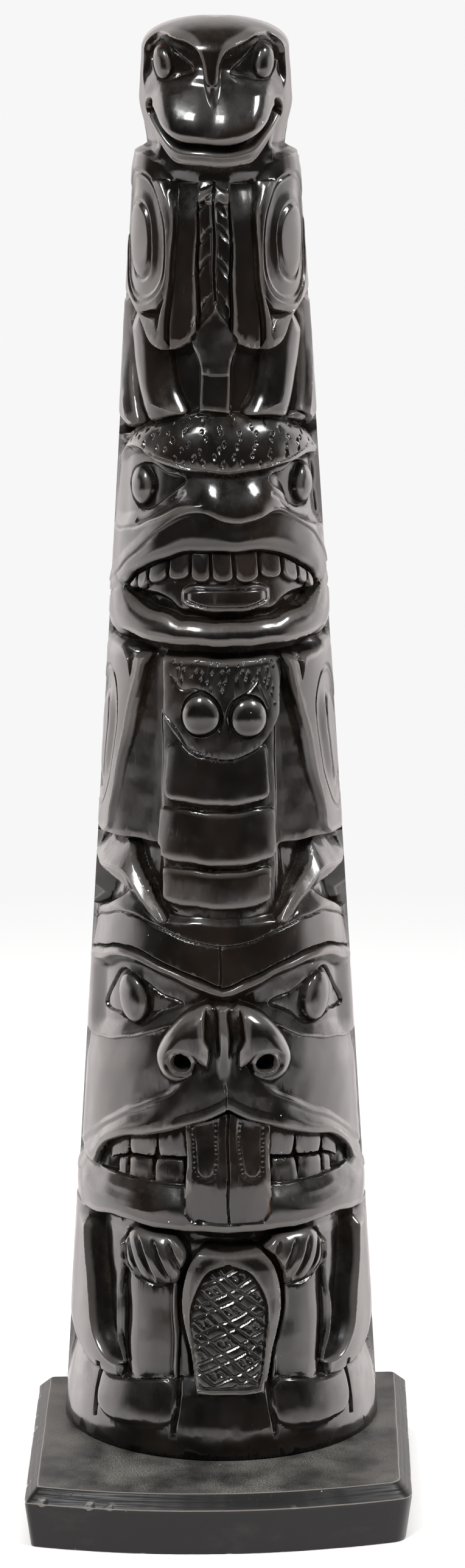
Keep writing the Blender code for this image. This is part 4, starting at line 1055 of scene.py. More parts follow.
# Closed tube: rows of points joined by quads, and a fan to the middle at either end.
def tubeMesh(name, points):
    rows, columns = points.shape[:2]
    middles = points[[0, -1]].mean(axis=1)
    verts = np.concatenate([points.reshape(-1, 3), middles])
    index = np.arange(rows * columns).reshape(rows, columns)
    beside = np.roll(index, -1, axis=1)
    quads = np.stack([index[:-1], beside[:-1], beside[1:], index[1:]], -1).reshape(-1)
    low = np.stack([beside[0], index[0], np.full(columns, rows * columns)], -1).reshape(-1)
    high = np.stack([index[-1], beside[-1], np.full(columns, rows * columns + 1)], -1).reshape(-1)
    loops = np.concatenate([quads, low, high])
    quadCount = (rows - 1) * columns
    starts = np.concatenate([np.arange(quadCount) * 4, quadCount * 4 + np.arange(2 * columns) * 3])
    mesh = bpy.data.meshes.new(name)
    mesh.vertices.add(len(verts))
    mesh.loops.add(len(loops))
    mesh.polygons.add(len(starts))
    mesh.vertices.foreach_set("co", verts.astype(np.float32).reshape(-1))
    mesh.loops.foreach_set("vertex_index", loops.astype(np.int32))
    mesh.polygons.foreach_set("loop_start", starts.astype(np.int32))
    mesh.update(calc_edges=True)
    mesh.validate()
    mesh.shade_smooth()
    return mesh


# One value a point, with each end's middle given the mean of its row.
def keepValues(mesh, name, values):
    spread = np.concatenate([values.reshape(-1), [values[0].mean(), values[-1].mean()]])
    mesh.attributes.new(name, "FLOAT", "POINT").data.foreach_set("value", spread.astype(np.float32))


# Mean over a square window, by differences of a running sum along rows and then columns.
def blurred(values, reach):
    for axis in (0, 1):
        edge = [(0, 0), (0, 0)]
        edge[axis] = (reach + 1, reach)
        total = np.cumsum(np.pad(values, edge, "edge"), axis=axis)
        size = values.shape[axis]
        upper = np.take(total, np.arange(2 * reach + 1, 2 * reach + 1 + size), axis=axis)
        lower = np.take(total, np.arange(size), axis=axis)
        values = (upper - lower) / (2 * reach + 1)
    return values


# Rounded front: x = (half + level) sin a, y = -(front + level) cos a, with a slab behind the widest line.
# Over the crown the whole section shrinks as (1 - t^n)^(1/n) while it rises.
def polePoints():
    s = stave
    wallRows = int((s["crownStart"] - s["drawnFoot"]) / s["rowStep"])
    angles = np.linspace(-math.pi / 2, math.pi / 2, s["frontColumns"])
    down = np.linspace(0, 1, s["sideColumns"])
    over = np.linspace(1, -1, s["backColumns"] + 2)[1:-1]
    across = np.concatenate([np.ones(s["sideColumns"]), over, -np.ones(s["sideColumns"])])
    depth = np.concatenate([down, np.ones(s["backColumns"]), down[::-1]])
    closing = np.sin(np.linspace(0, 1, s["crownRows"] + 1)[1:] * math.pi / 2) * s["crownClosing"]
    wall = np.linspace(s["drawnFoot"], s["crownStart"], wallRows)
    drawn = np.concatenate([wall, np.full(s["crownRows"], s["crownStart"])])
    roundness = s["crownRoundness"]
    shrink = np.concatenate([np.ones(wallRows), (1 - closing ** roundness) ** (1 / roundness)])[:, None]
    rise = np.concatenate([np.zeros(wallRows), closing * s["crownRise"]])[:, None]

    angle, height = np.meshgrid(angles, drawn)
    share = (height - s["drawnFoot"]) / (s["drawnCrown"] - s["drawnFoot"])
    half = s["footHalf"] + (s["topHalf"] - s["footHalf"]) * share
    front = s["footFront"] + (s["topFront"] - s["footFront"]) * share
    slab = s["footSlab"] + (s["topSlab"] - s["footSlab"]) * share[:, :1]
    drift = s["lean"] * share[:, :1] ** 2
    z = height + rise
    level = carvedLevel(angle, half * angle, z)
    frontX = (half + level) * np.sin(angle)
    frontY = -(front + level) * np.cos(angle)
    inwards = np.interp(drawn, *np.array(ground["back"]).T)[:, None]
    corner = s["slabCorner"] * (depth == 1.0) * (np.abs(across) == 1.0)
    unevenBack = s["backWork"] * handWork(40 * across, z[:, :1]) * (np.abs(across) < 1)
    slabX = (half[:, :1] + inwards - corner) * across
    slabY = s["slabLip"] + (slab - s["slabLip"]) * depth + unevenBack
    x = np.hstack([frontX, slabX]) * shrink + drift
    y = np.hstack([frontY, slabY]) * shrink + s["setBack"]
    up = (share[:, :1] * s["wallHeight"] + rise + s["drawnFoot"] + s["seat"]) * np.ones_like(x)
    hollow = blurred(level, s["hollowReach"]) - level
    behind = np.zeros((len(drawn), len(across)))
    return np.stack([x, y, up], -1) / 1000, np.hstack([hollow, behind])


# Unit normals of the full grid: cross product of its two directions of run.
def gridNormals(points):
    around = np.roll(points, -1, axis=1) - np.roll(points, 1, axis=1)
    upwards = np.gradient(points, axis=0)
    normal = np.cross(around, upwards)
    return normal / np.maximum(np.linalg.norm(normal, axis=-1, keepdims=True), 1e-12)


# Unit normals of a triangle mesh: faces count by area, then by area times a power of their agreement with
# the first result, so that the broad face beside a cut keeps its own normal.
def broadNormals(mesh):
    places = np.empty(len(mesh.vertices) * 3, np.float32)
    mesh.vertices.foreach_get("co", places)
    places = places.reshape(-1, 3).astype(float)
    corners = np.empty(len(mesh.loops), np.int32)
    mesh.loops.foreach_get("vertex_index", corners)
    corners = corners.reshape(-1, 3)
    first, second, third = places[corners.T]
    across = np.cross(second - first, third - first)
    area = np.linalg.norm(across, axis=1, keepdims=True)
    facing = across / np.maximum(area, 1e-20)
    result = np.zeros_like(places)
    for power in (0, stave["likeness"]):
        total = np.zeros_like(places)
        for corner in corners.T:
            likeness = np.clip((facing * result[corner]).sum(axis=1, keepdims=True), 0.001, 1) ** power
            np.add.at(total, corner, across * likeness)
        result = total / np.maximum(np.linalg.norm(total, axis=1, keepdims=True), 1e-20)
    return result


# The full grid is thinned to the set number of triangles, and its shading blends the two normals above.
def makePole():
    points, hollow = polePoints()
    mesh = tubeMesh("poleCarving", points)
    keepValues(mesh, "hollow", hollow)
    fine = np.concatenate([gridNormals(points).reshape(-1, 3), [[0, 0, -1], [0, 0, 1]]])
    stored = mesh.attributes.new("fineNormal", "FLOAT_VECTOR", "POINT")
    stored.data.foreach_set("vector", fine.astype(np.float32).reshape(-1))
    pole = bpy.data.objects.new("carvedPole", mesh)
    bpy.context.scene.collection.objects.link(pole)
    thin = pole.modifiers.new("thinOut", "DECIMATE")
    thin.ratio = stave["triangles"] / (2 * hollow.size)
    thin.use_collapse_triangulate = True
    bpy.context.view_layer.update()
    light = bpy.data.meshes.new_from_object(pole.evaluated_get(bpy.context.evaluated_depsgraph_get()))
    light.name = "carvedPole"
    pole.modifiers.clear()
    pole.data = light
    bpy.data.meshes.remove(mesh)
    kept = np.empty(len(light.vertices) * 3, np.float32)
    light.attributes["fineNormal"].data.foreach_get("vector", kept)
    kept = kept.reshape(-1, 3)
    kept /= np.maximum(np.linalg.norm(kept, axis=1, keepdims=True), 1e-9)
    kept = stave["fineShare"] * kept + (1 - stave["fineShare"]) * broadNormals(light)
    kept /= np.maximum(np.linalg.norm(kept, axis=1, keepdims=True), 1e-9)
    light.shade_smooth()
    light.normals_split_custom_set_from_vertices(kept)
    light.attributes.remove(light.attributes["fineNormal"])
    print("pole:", len(light.polygons), "triangles")
    return pole


pole = makePole()
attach(pole, "root")
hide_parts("pole")


plinthForm = {
    "halfWidth": 45.1,
    "thickness": 14.5,
    "frontLeft": 18.1,        # how far the plinth stands out in front of the pole at either end
    "frontRight": 13.8,
    "frontBow": 6.4,
    "backLeft": 12.8,
    "backRight": 17.6,
    "chamfer": 3.0,
    "corner": 1.3,
    "wornCorner": 3.0,        # the front right corner
    "drawIn": 1.3,            # the underside is this much smaller on each side
    "arris": 0.35,            # rounding where two faces meet
    "spacing": 0.45,          # between the columns round the edge
    "chips": 0.32,
    "chipCount": 46,
    "chipSizes": (0.25, 0.95),
    "topReach": 36,           # how far in from the edge the top's rings of points go
    "topRings": 50,
    "wallRings": 22,
    "frontSteps": 60,
    "cornerSteps": 9,
    "clearOfCorner": 0.4,
    "chamferRings": 8,
    "flatRim": 2.4,           # how far in the underside's outer ring of points goes
}


# Round the plinth from its front left corner, with each corner an arc, resampled to even steps.
def plinthPath():
    p = plinthForm
    span = np.linspace(-1, 1, p["frontSteps"])
    share = (span + 1) / 2
    margin = p["frontLeft"] + (p["frontRight"] - p["frontLeft"]) * share + p["frontBow"] * (1 - span ** 2)
    front = np.stack([span * p["halfWidth"], -stave["footFront"] - margin], -1)
    right = (p["halfWidth"], stave["footSlab"] + p["backRight"])
    left = (-p["halfWidth"], stave["footSlab"] + p["backLeft"])
    back = np.array([right, left])
    clear = front[:, 0] < p["halfWidth"] - p["wornCorner"] - p["clearOfCorner"]
    clear = clear & (front[:, 0] > p["corner"] + p["clearOfCorner"] - p["halfWidth"])
    front = np.vstack([front[:1], front[clear], front[-1:]])
    outline = np.vstack([front, back])
    middle = (outline.min(axis=0) + outline.max(axis=0)) / 2
    outline = outline - middle
    last = len(front) - 1
    corners = {0: p["corner"], last: p["wornCorner"], last + 1: p["corner"], last + 2: p["corner"]}
    path = []
    for place, point in enumerate(outline):
        radius = corners.get(place)
        if radius is None:
            path.append(point[None])
            continue
        before = outline[place - 1] - point
        after = outline[(place + 1) % len(outline)] - point
        before = before / np.hypot(*before)
        after = after / np.hypot(*after)
        t = np.linspace(0, 1, p["cornerSteps"])[:, None]
        path.append(point + radius * ((1 - t) ** 2 * before + t ** 2 * after))
    path = np.vstack(path)
    path = path[[True] + [bool(np.hypot(*step) > 1e-3) for step in np.diff(path, axis=0)]]
    loop = np.vstack([path, path[:1]])
    run = np.concatenate([[0], np.cumsum(np.hypot(*np.diff(loop, axis=0).T))])
    even = np.linspace(0, run[-1], int(run[-1] / p["spacing"]), endpoint=False)
    return np.stack([np.interp(even, run, loop[:, 0]), np.interp(even, run, loop[:, 1])], -1)


# The outline is carried up a profile of (inset, height) pairs: underside, wall, filed chamfer and top.
# An inset shrinks the outline by its share of the half width and half depth, with small waves and chips
# added at the arrises.
def makePlinth():
    p = plinthForm
    path = plinthPath()
    halfSize = (path.max(axis=0) - path.min(axis=0)) / 2
    high = p["thickness"]
    edge = high - p["chamfer"]
    r = p["arris"]
    foot = p["drawIn"]
    chamfer = p["chamfer"]
    profile = [(foot + p["flatRim"], 0.0), (foot + r, 0.0), (foot + 0.3 * r, 0.3 * r), (foot, r)]
    profile += [(foot * (1 - t), r + (edge - 2 * r) * t) for t in np.linspace(0.05, 1, p["wallRings"])]
    profile += [(0.08 * r, edge - 0.35 * r), (0.4 * r, edge + 0.1 * r), (r, edge + 0.8 * r)]
    for t in np.linspace(0.14, 1, p["chamferRings"]):
        profile.append((r + (chamfer - 1.8 * r) * t, edge + 0.8 * r + (chamfer - 1.25 * r) * t))
    profile += [(chamfer - 0.3 * r, high - 0.1 * r), (chamfer + 0.5 * r, high)]
    profile += [(chamfer + 0.5 * r + step, high) for step in np.linspace(0.6, p["topReach"], p["topRings"])]
    inset, height = np.array(profile).T
    run = np.arange(len(path)) * p["spacing"]
    wave = 0.1 * np.sin(run / 5.1) + 0.07 * np.sin(run / 2.3 + 1.1) + 0.03 * np.sin(run / 0.9 + 0.4)
    flaw = np.random.default_rng(5)
    chip = np.zeros((len(profile), len(path)))
    for count in range(p["chipCount"]):
        place = flaw.uniform(0, run[-1])
        atEdge = flaw.choice([edge, edge, 0.2])
        size = flaw.uniform(*p["chipSizes"])
        far = np.abs((run - place + run[-1] / 2) % run[-1] - run[-1] / 2)
        away = np.hypot(far[None, :] / (size * 1.3), (height[:, None] - atEdge) / size)
        bite = dome(np.minimum(away, 1))
        chip = np.maximum(chip, bite * p["chips"] * size)
    outer = (inset < chamfer + 0.6)[:, None]
    chip = chip * outer
    depth = inset[:, None] + np.clip(wave * 0.5, 0, 1)[None, :] * outer + chip
    ring = path[None] * (1 - depth[..., None] / halfSize)
    points = np.concatenate([ring, np.broadcast_to(height[:, None], chip.shape)[..., None]], -1) / 1000
    mesh = tubeMesh("stonePlinth", points)
    # Rubbed bands along both arrises, partly wear and partly a painted highlight, are kept with the chips for
    # the material.
    rubbed = 0.35 * np.exp(-((height - edge) / 0.5) ** 2) + 0.3 * np.exp(-((height - high) / 0.3) ** 2)
    keepValues(mesh, "wearAndArrisHighlight", chip + rubbed[:, None] * outer)
    plinth = bpy.data.objects.new("stonePlinth", mesh)
    bpy.context.scene.collection.objects.link(plinth)
    print("plinth:", len(mesh.polygons), "faces")
    return plinth


plinth = makePlinth()
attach(plinth, "root")
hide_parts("plinth")


# New node with its settings; an input is a socket to join or a plain value, by name or number.
def put(tree, kind, inputs=None, **settings):
    node = tree.nodes.new(kind)
    for key, value in settings.items():
        setattr(node, key, value)
    for key, value in (inputs or {}).items():
        if isinstance(value, bpy.types.NodeSocket):
            tree.links.new(value, node.inputs[key])
        else:
            node.inputs[key].default_value = value
    return node


# One step of arithmetic on two values.
def reckon(tree, operation, first, second=0.0, clamp=False):
    return put(tree, "ShaderNodeMath", {0: first, 1: second}, operation=operation, use_clamp=clamp).outputs[0]


# The product of two values.
def times(tree, first, second, clamp=False):
    return reckon(tree, "MULTIPLY", first, second, clamp)


# 0 on low's side and 1 on high's side, eased between.
def fade(tree, value, low, high):
    limits = {"Value": value, "From Min": low, "From Max": high}
    return put(tree, "ShaderNodeMapRange", limits, interpolation_type="SMOOTHSTEP").outputs["Result"]


# 1 between two fades, each given as the values where it is 0 and where it is 1.
def between(tree, value, low, high):
    return times(tree, fade(tree, value, *low), fade(tree, value, *high))


# The first colour, giving way to the second by a share.
def blendColour(tree, share, first, second):
    return put(tree, "ShaderNodeMix", {0: share, 6: first, 7: second}, data_type="RGBA").outputs[2]


# Object coordinates, scaled and turned by degrees.
def stretched(tree, scale, turn=(0, 0, 0)):
    place = put(tree, "ShaderNodeTexCoord").outputs["Object"]
    inputs = {"Vector": place, "Scale": scale, "Rotation": [math.radians(a) for a in turn]}
    return put(tree, "ShaderNodeMapping", inputs).outputs["Vector"]


# Places multiplied by one socket's value.
def resized(tree, where, scale):
    inputs = {0: where, "Scale": scale}
    return put(tree, "ShaderNodeVectorMath", inputs, operation="SCALE").outputs[0]


# Blender's noise at the given places, from 0 to 1.
def noise(tree, where, size=1.0, detail=3.0, rough=0.55):
    inputs = {"Vector": where, "Scale": size, "Detail": detail, "Roughness": rough}
    return put(tree, "ShaderNodeTexNoise", inputs).outputs["Fac"]


# Node group with its inputs and outputs.
def newGroup(name, inputs, outputs):
    group = bpy.data.node_groups.new(name, "ShaderNodeTree")
    for label, value in inputs.items():
        socket = group.interface.new_socket(label, in_out="INPUT", socket_type="NodeSocketFloat")
        socket.default_value = value
    for label in outputs:
        group.interface.new_socket(label, in_out="OUTPUT", socket_type="NodeSocketFloat")
    return group, group.nodes.new("NodeGroupInput").outputs, group.nodes.new("NodeGroupOutput").inputs


scratchSets = (                # degrees turned, and scale along and across
    ((0, 35, 10), (2600, 2600, 90)),
    ((0, -48, 5), (2200, 2200, 70)),
    ((8, 82, 0), (3000, 3000, 110)),
)


# Fine handling scratches: noise squeezed thin across three leaning directions, with only its crests kept.
def scratchGroup():
    group, given, wanted = newGroup("handlingScratches", {"Amount": 1.0, "Fineness": 1.0}, ("Mask",))
    total = 0.0
    for turn, scale in scratchSets:
        sized = resized(group, stretched(group, scale, turn), given["Fineness"])
        crest = fade(group, noise(group, sized, 1.0, 1.0), 0.71, 0.78)
        total = reckon(group, "MAXIMUM", total, crest)
    patch = fade(group, noise(group, stretched(group, (120, 120, 120)), 1.0, 2.0), 0.42, 0.62)
    strength = times(group, patch, given["Amount"])
    group.links.new(times(group, total, strength), wanted["Mask"])
    return group


# Dust that lies in hollows and on what faces up, broken into grains.
def dustGroup():
    inputs = {"Hollow": 0.0, "In hollows": 1.0, "On tops": 0.0, "Grain": 1.0, "Cloud": 1.0}
    group, given, wanted = newGroup("settledDust", inputs, ("Mask",))
    inside = times(group, fade(group, given["Hollow"], 0.12, 0.75), given["In hollows"])
    normal = put(group, "ShaderNodeNewGeometry").outputs["Normal"]
    upward = fade(group, put(group, "ShaderNodeSeparateXYZ", {0: normal}).outputs["Z"], 0.5, 0.98)
    both = reckon(group, "ADD", inside, times(group, upward, given["On tops"]))
    swept = resized(group, stretched(group, (160, 160, 160)), given["Cloud"])
    cloud = fade(group, noise(group, swept, 1.0, 4.0), 0.3, 0.75)
    sized = resized(group, stretched(group, (2600, 2600, 2600)), given["Grain"])
    grain = fade(group, noise(group, sized, 1.0, 2.0), 0.42, 0.68)
    mottled = times(group, cloud, reckon(group, "ADD", 0.35, grain))
    group.links.new(times(group, both, mottled, True), wanted["Mask"])
    return group


# Scattered specks: the middles of random cells, kept where the cell's own random value is high.
def speckGroup():
    group, given, wanted = newGroup("specks", {"Size": 0.1, "Share": 0.1}, ("Mask",))
    cells = put(group, "ShaderNodeTexVoronoi", {"Vector": stretched(group, (420, 420, 420)), "Scale": 1.0})
    chance = put(group, "ShaderNodeSeparateColor", {0: cells.outputs["Color"]})
    size = times(group, given["Size"], chance.outputs["Green"])
    near = reckon(group, "LESS_THAN", cells.outputs["Distance"], size)
    few = reckon(group, "LESS_THAN", chance.outputs["Red"], given["Share"])
    group.links.new(times(group, near, few), wanted["Mask"])
    return group


scratches = scratchGroup()
dust = dustGroup()
specks = speckGroup()


# The mask that a group gives for the values set on it.
def groupMask(tree, group, inputs):
    return put(tree, "ShaderNodeGroup", inputs, node_tree=group).outputs["Mask"]


# A new material, its node tree and its Principled shader.
def newMaterial(name):
    material = bpy.data.materials.new(name)
    material.use_nodes = True
    return material, material.node_tree, material.node_tree.nodes["Principled BSDF"]


poleStone = {
    "colour": (0.0024, 0.0018, 0.0014, 1),
    "warmColour": (0.010, 0.006, 0.0037, 1),
    "veinColour": (0.16, 0.062, 0.022, 1),
    "dustColour": (0.20, 0.175, 0.15, 1),
    "speckColour": (0.62, 0.58, 0.52, 1),
    "ior": 1.45,
    "haze": 0.44,             # roughness of the body of the stone under its polished skin
    "hazeLow": 0.02,          # how strongly that body shines on upright faces and on what faces up
    "hazeHigh": 0.55,
    "skin": 0.95,
    "skinIor": 1.53,
    "polish": 0.115,
    "worn": 0.22,
    "scratchAmount": 0.8,
    "edgeWearAndHighlightColour": (0.13, 0.12, 0.112, 1),
    "edgeWearAndHighlight": 0.42,         # how far the crests of the carving are rubbed pale, with a painted highlight on them
    "dustInHollows": 0.1,
    "dustOnTops": 0.05,
    "speckShare": 0.035,
    "unevenness": 0.045,
    "cloudScale": (55, 55, 38),
    "streakScale": (95, 95, 26),
    "streakTurn": (0, 24, 0),
    "veinShare": 0.5,
    "wornScale": (210, 210, 210),
    "hazeScale": (150, 150, 110),
    "rippleScale": (260, 260, 90),
    "speckSize": 0.09,
    "scratchDepth": 0.01,
    "scratchRoughness": 0.22,
    "dustRoughness": 1.4,
    "bumpHeight": 0.001,
    "bumpStrength": 0.6,
    "cloudFade": (0.42, 0.75),
    "veinFade": (0.66, 0.76),
    "crestFade": (-0.16, -0.55),  # of hollow, which is how far in mm a place lies under what is round it
    "wornFade": (0.4, 0.8),
    "skinFade": (0.55, 0.15),
    "upwardFade": (0.03, 0.42),
    "hazeFade": (0.3, 0.7),
}


# Black stone with warm clouds and a few veins, crests rubbed pale with a painted highlight, dust and specks,
# under a polished skin that doesn't reach into the cuts. Its body shines softly through on what faces up.
def makePoleStone():
    v = poleStone
    material, tree, shader = newMaterial("polishedStone")
    hollow = put(tree, "ShaderNodeAttribute", attribute_name="hollow").outputs["Fac"]
    broad = noise(tree, stretched(tree, v["cloudScale"]), 1.0, 4.0)
    colour = blendColour(tree, fade(tree, broad, *v["cloudFade"]), v["colour"], v["warmColour"])
    streak = noise(tree, stretched(tree, v["streakScale"], v["streakTurn"]), 1.0, 6.0, 0.7)
    vein = times(tree, fade(tree, streak, *v["veinFade"]), v["veinShare"])
    colour = blendColour(tree, vein, colour, v["veinColour"])
    # Crests of the carving paled: partly edge wear, partly a painted highlight where they stand above what is
    # round them.
    edge = times(tree, fade(tree, hollow, *v["crestFade"]), v["edgeWearAndHighlight"])
    colour = blendColour(tree, edge, colour, v["edgeWearAndHighlightColour"])
    settled = {"Hollow": hollow, "In hollows": v["dustInHollows"], "On tops": v["dustOnTops"]}
    lying = groupMask(tree, dust, settled)
    colour = blendColour(tree, lying, colour, v["dustColour"])
    speck = groupMask(tree, specks, {"Size": v["speckSize"], "Share": v["speckShare"]})
    colour = blendColour(tree, speck, colour, v["speckColour"])
    tree.links.new(colour, shader.inputs["Base Color"])
    scratch = groupMask(tree, scratches, {"Amount": v["scratchAmount"]})
    worn = fade(tree, noise(tree, stretched(tree, v["wornScale"]), 1.0, 5.0), *v["wornFade"])
    limits = {"Value": worn, "To Min": v["polish"], "To Max": v["worn"]}
    rough = put(tree, "ShaderNodeMapRange", limits).outputs[0]
    dusty = times(tree, lying, v["dustRoughness"])
    rough = reckon(tree, "ADD", rough, times(tree, scratch, v["scratchRoughness"]))
    rough = reckon(tree, "MAXIMUM", rough, dusty)
    tree.links.new(rough, shader.inputs["Coat Roughness"])
    polished = times(tree, fade(tree, hollow, *v["skinFade"]), v["skin"])
    tree.links.new(polished, shader.inputs["Coat Weight"])
    shader.inputs["Coat IOR"].default_value = v["skinIor"]
    body = reckon(tree, "MAXIMUM", dusty, v["haze"])
    tree.links.new(body, shader.inputs["Roughness"])
    normal = put(tree, "ShaderNodeNewGeometry").outputs["Normal"]
    upward = fade(tree, put(tree, "ShaderNodeSeparateXYZ", {0: normal}).outputs["Z"], *v["upwardFade"])
    patch = fade(tree, noise(tree, stretched(tree, v["hazeScale"]), 1.0, 5.0, 0.65), *v["hazeFade"])
    hazy = times(tree, upward, patch)
    limits = {"Value": hazy, "To Min": v["hazeLow"], "To Max": v["hazeHigh"]}
    shine = put(tree, "ShaderNodeMapRange", limits).outputs[0]
    tree.links.new(shine, shader.inputs["Specular IOR Level"])
    shader.inputs["IOR"].default_value = v["ior"]
    ripple = noise(tree, stretched(tree, v["rippleScale"]), 1.0, 5.0)
    sunk = times(tree, scratch, v["scratchDepth"])
    height = reckon(tree, "SUBTRACT", times(tree, ripple, v["unevenness"]), sunk)
    pressed = {"Height": height, "Distance": v["bumpHeight"], "Strength": v["bumpStrength"]}
    bump = put(tree, "ShaderNodeBump", pressed)
    tree.links.new(bump.outputs["Normal"], shader.inputs["Normal"])
    tree.links.new(bump.outputs["Normal"], shader.inputs["Coat Normal"])
    return material


plinthStone = {
    "colour": (0.0085, 0.0085, 0.0093, 1),
    # rubbed patches and chips, with a painted highlight along the arrises
    "rubbedAndArrisHighlightColour": (0.055, 0.047, 0.04, 1),
    "dustColour": (0.22, 0.21, 0.19, 1),
    # paler colour along both arrises, partly wear and partly a painted highlight
    "edgeWearAndHighlightColour": (0.24, 0.225, 0.21, 1),
    "edgeWearAndHighlight": 0.7,
    "ior": 1.5,
    "shine": 0.24,
    "fileMarks": 0.2,
    "roughness": 0.34,
    "dustOnTops": 0.7,
    "speckShare": 0.06,
    "rubbedScale": (90, 90, 160),
    "rubbedShare": 0.35,
    # share of the kept chips and arris bands, the bands partly a painted highlight
    "wearAndArrisHighlightShare": 0.6,
    "fileScale": (50, 50, 1700),
    "plainDepth": 0.02,
    "grain": 1.3,
    "cloud": 0.4,
    "speckSize": 0.1,
    "fineness": 0.7,
    "scratchDepth": 0.02,
    "scratchRoughness": 0.2,
    "dustRoughness": 1.2,
    "bumpHeight": 0.001,
    "bumpStrength": 0.6,
    "rubbedFade": (0.55, 0.8),
    "lowerArris": ((0.1, 0.2), (0.62, 0.5)),  # how far up the stone faces, where each mask comes and goes
    "upperArris": ((0.8, 0.88), (0.995, 0.96)),
    "chamferFaces": ((0.3, 0.6), (0.98, 0.85)),
    "topFaces": (0.85, 0.99),
}


# Black stone, rubbed in patches and paler along both rounded arrises: partly wear and partly a painted
# highlight, which it tells by how far they face up. Dust lies on the flat top and file marks run along the
# chamfer.
def makePlinthStone():
    v = plinthStone
    material, tree, shader = newMaterial("filedStone")
    # Kept chips and arris bands; the bands are partly a painted highlight.
    wearAndArrisHighlight = put(tree, "ShaderNodeAttribute", attribute_name="wearAndArrisHighlight").outputs["Fac"]
    rubbed = fade(tree, noise(tree, stretched(tree, v["rubbedScale"]), 1.0, 4.0), *v["rubbedFade"])
    patchy = times(tree, rubbed, v["rubbedShare"])
    worn = reckon(tree, "MAXIMUM", patchy, times(tree, wearAndArrisHighlight, v["wearAndArrisHighlightShare"], True))
    colour = blendColour(tree, worn, v["colour"], v["rubbedAndArrisHighlightColour"])
    normal = put(tree, "ShaderNodeNewGeometry").outputs["Normal"]
    upward = put(tree, "ShaderNodeSeparateXYZ", {0: normal}).outputs["Z"]
    # Painted highlight, with some wear, along both rounded arrises, told by how far the faces there turn up.
    lower = between(tree, upward, *v["lowerArris"])
    upper = between(tree, upward, *v["upperArris"])
    edge = times(tree, reckon(tree, "MAXIMUM", lower, upper), v["edgeWearAndHighlight"])
    colour = blendColour(tree, edge, colour, v["edgeWearAndHighlightColour"])
    settled = {"In hollows": 0.0, "On tops": v["dustOnTops"], "Grain": v["grain"], "Cloud": v["cloud"]}
    lying = groupMask(tree, dust, settled)
    lying = times(tree, lying, fade(tree, upward, *v["topFaces"]))
    colour = blendColour(tree, lying, colour, v["dustColour"])
    speck = groupMask(tree, specks, {"Size": v["speckSize"], "Share": v["speckShare"]})
    colour = blendColour(tree, speck, colour, v["dustColour"])
    tree.links.new(colour, shader.inputs["Base Color"])
    scratch = groupMask(tree, scratches, {"Amount": 1.0, "Fineness": v["fineness"]})
    rough = reckon(tree, "ADD", times(tree, scratch, v["scratchRoughness"]), v["roughness"])
    rough = reckon(tree, "MAXIMUM", rough, times(tree, lying, v["dustRoughness"]))
    tree.links.new(rough, shader.inputs["Roughness"])
    shader.inputs["IOR"].default_value = v["ior"]
    shader.inputs["Specular IOR Level"].default_value = v["shine"]
    filed = noise(tree, stretched(tree, v["fileScale"]), 1.0, 2.0)
    sloping = between(tree, upward, *v["chamferFaces"])
    depth = reckon(tree, "ADD", v["plainDepth"], times(tree, sloping, v["fileMarks"]))
    sunk = times(tree, scratch, v["scratchDepth"])
    height = reckon(tree, "SUBTRACT", times(tree, filed, depth), sunk)
    pressed = {"Height": height, "Distance": v["bumpHeight"], "Strength": v["bumpStrength"]}
    bump = put(tree, "ShaderNodeBump", pressed)
    tree.links.new(bump.outputs["Normal"], shader.inputs["Normal"])
    return material


pole.data.materials.clear()
pole.data.materials.append(makePoleStone())
plinth.data.materials.append(makePlinthStone())
print("materials: made")


studio = {
    "floorColour": (0.9, 0.9, 0.895, 1),
    "floorSize": 1.0,
    "paperFrom": 0.16,        # the paper fades into the pale room between these distances
    "paperTo": 0.55,
    "pale": 0.93,             # what the camera sees behind the object
    "bright": 2.0,            # the paper in front, as the polished stone mirrors it
    "wall": 0.95,             # the pale wall behind
    "sides": 2.7,             # how much brighter the walls at the sides are
    "tint": (1.0, 0.945, 0.93, 1),  # colour of the room, as the stone mirrors it
    "dark": 0.05,             # the unlit room in front and overhead
    "lamps": (
        ("leftBox", (-0.45, -0.88, 1.2), 0.34, 14.0),
        ("rightBox", (0.86, -0.5, 1.2), 0.34, 12.0),
    ),
    "target": (0, 0, 0.2),
    "fill": ("overhead", (0, 0.1, 1.8), 1.6, 26.0),
    "sideReach": (0.3, 0.95),  # how far round to the sides the side walls brighten
    "frontReach": (0.25, -0.35),
    "sidePaper": 0.8,
    "underfoot": 1.25,        # the paper near the object, and how much less it is straight below
    "underfootLoss": 0.5,
    "paperLine": (-0.1, -0.3),
    "wallFrom": (-0.5, -0.05),
    "wallTop": (0.34, 0.04),
    "rearRise": 0.55,         # how much higher the wall stands behind
    "below": (-0.25, -0.85),
    "rear": (0.0, 0.6),
}


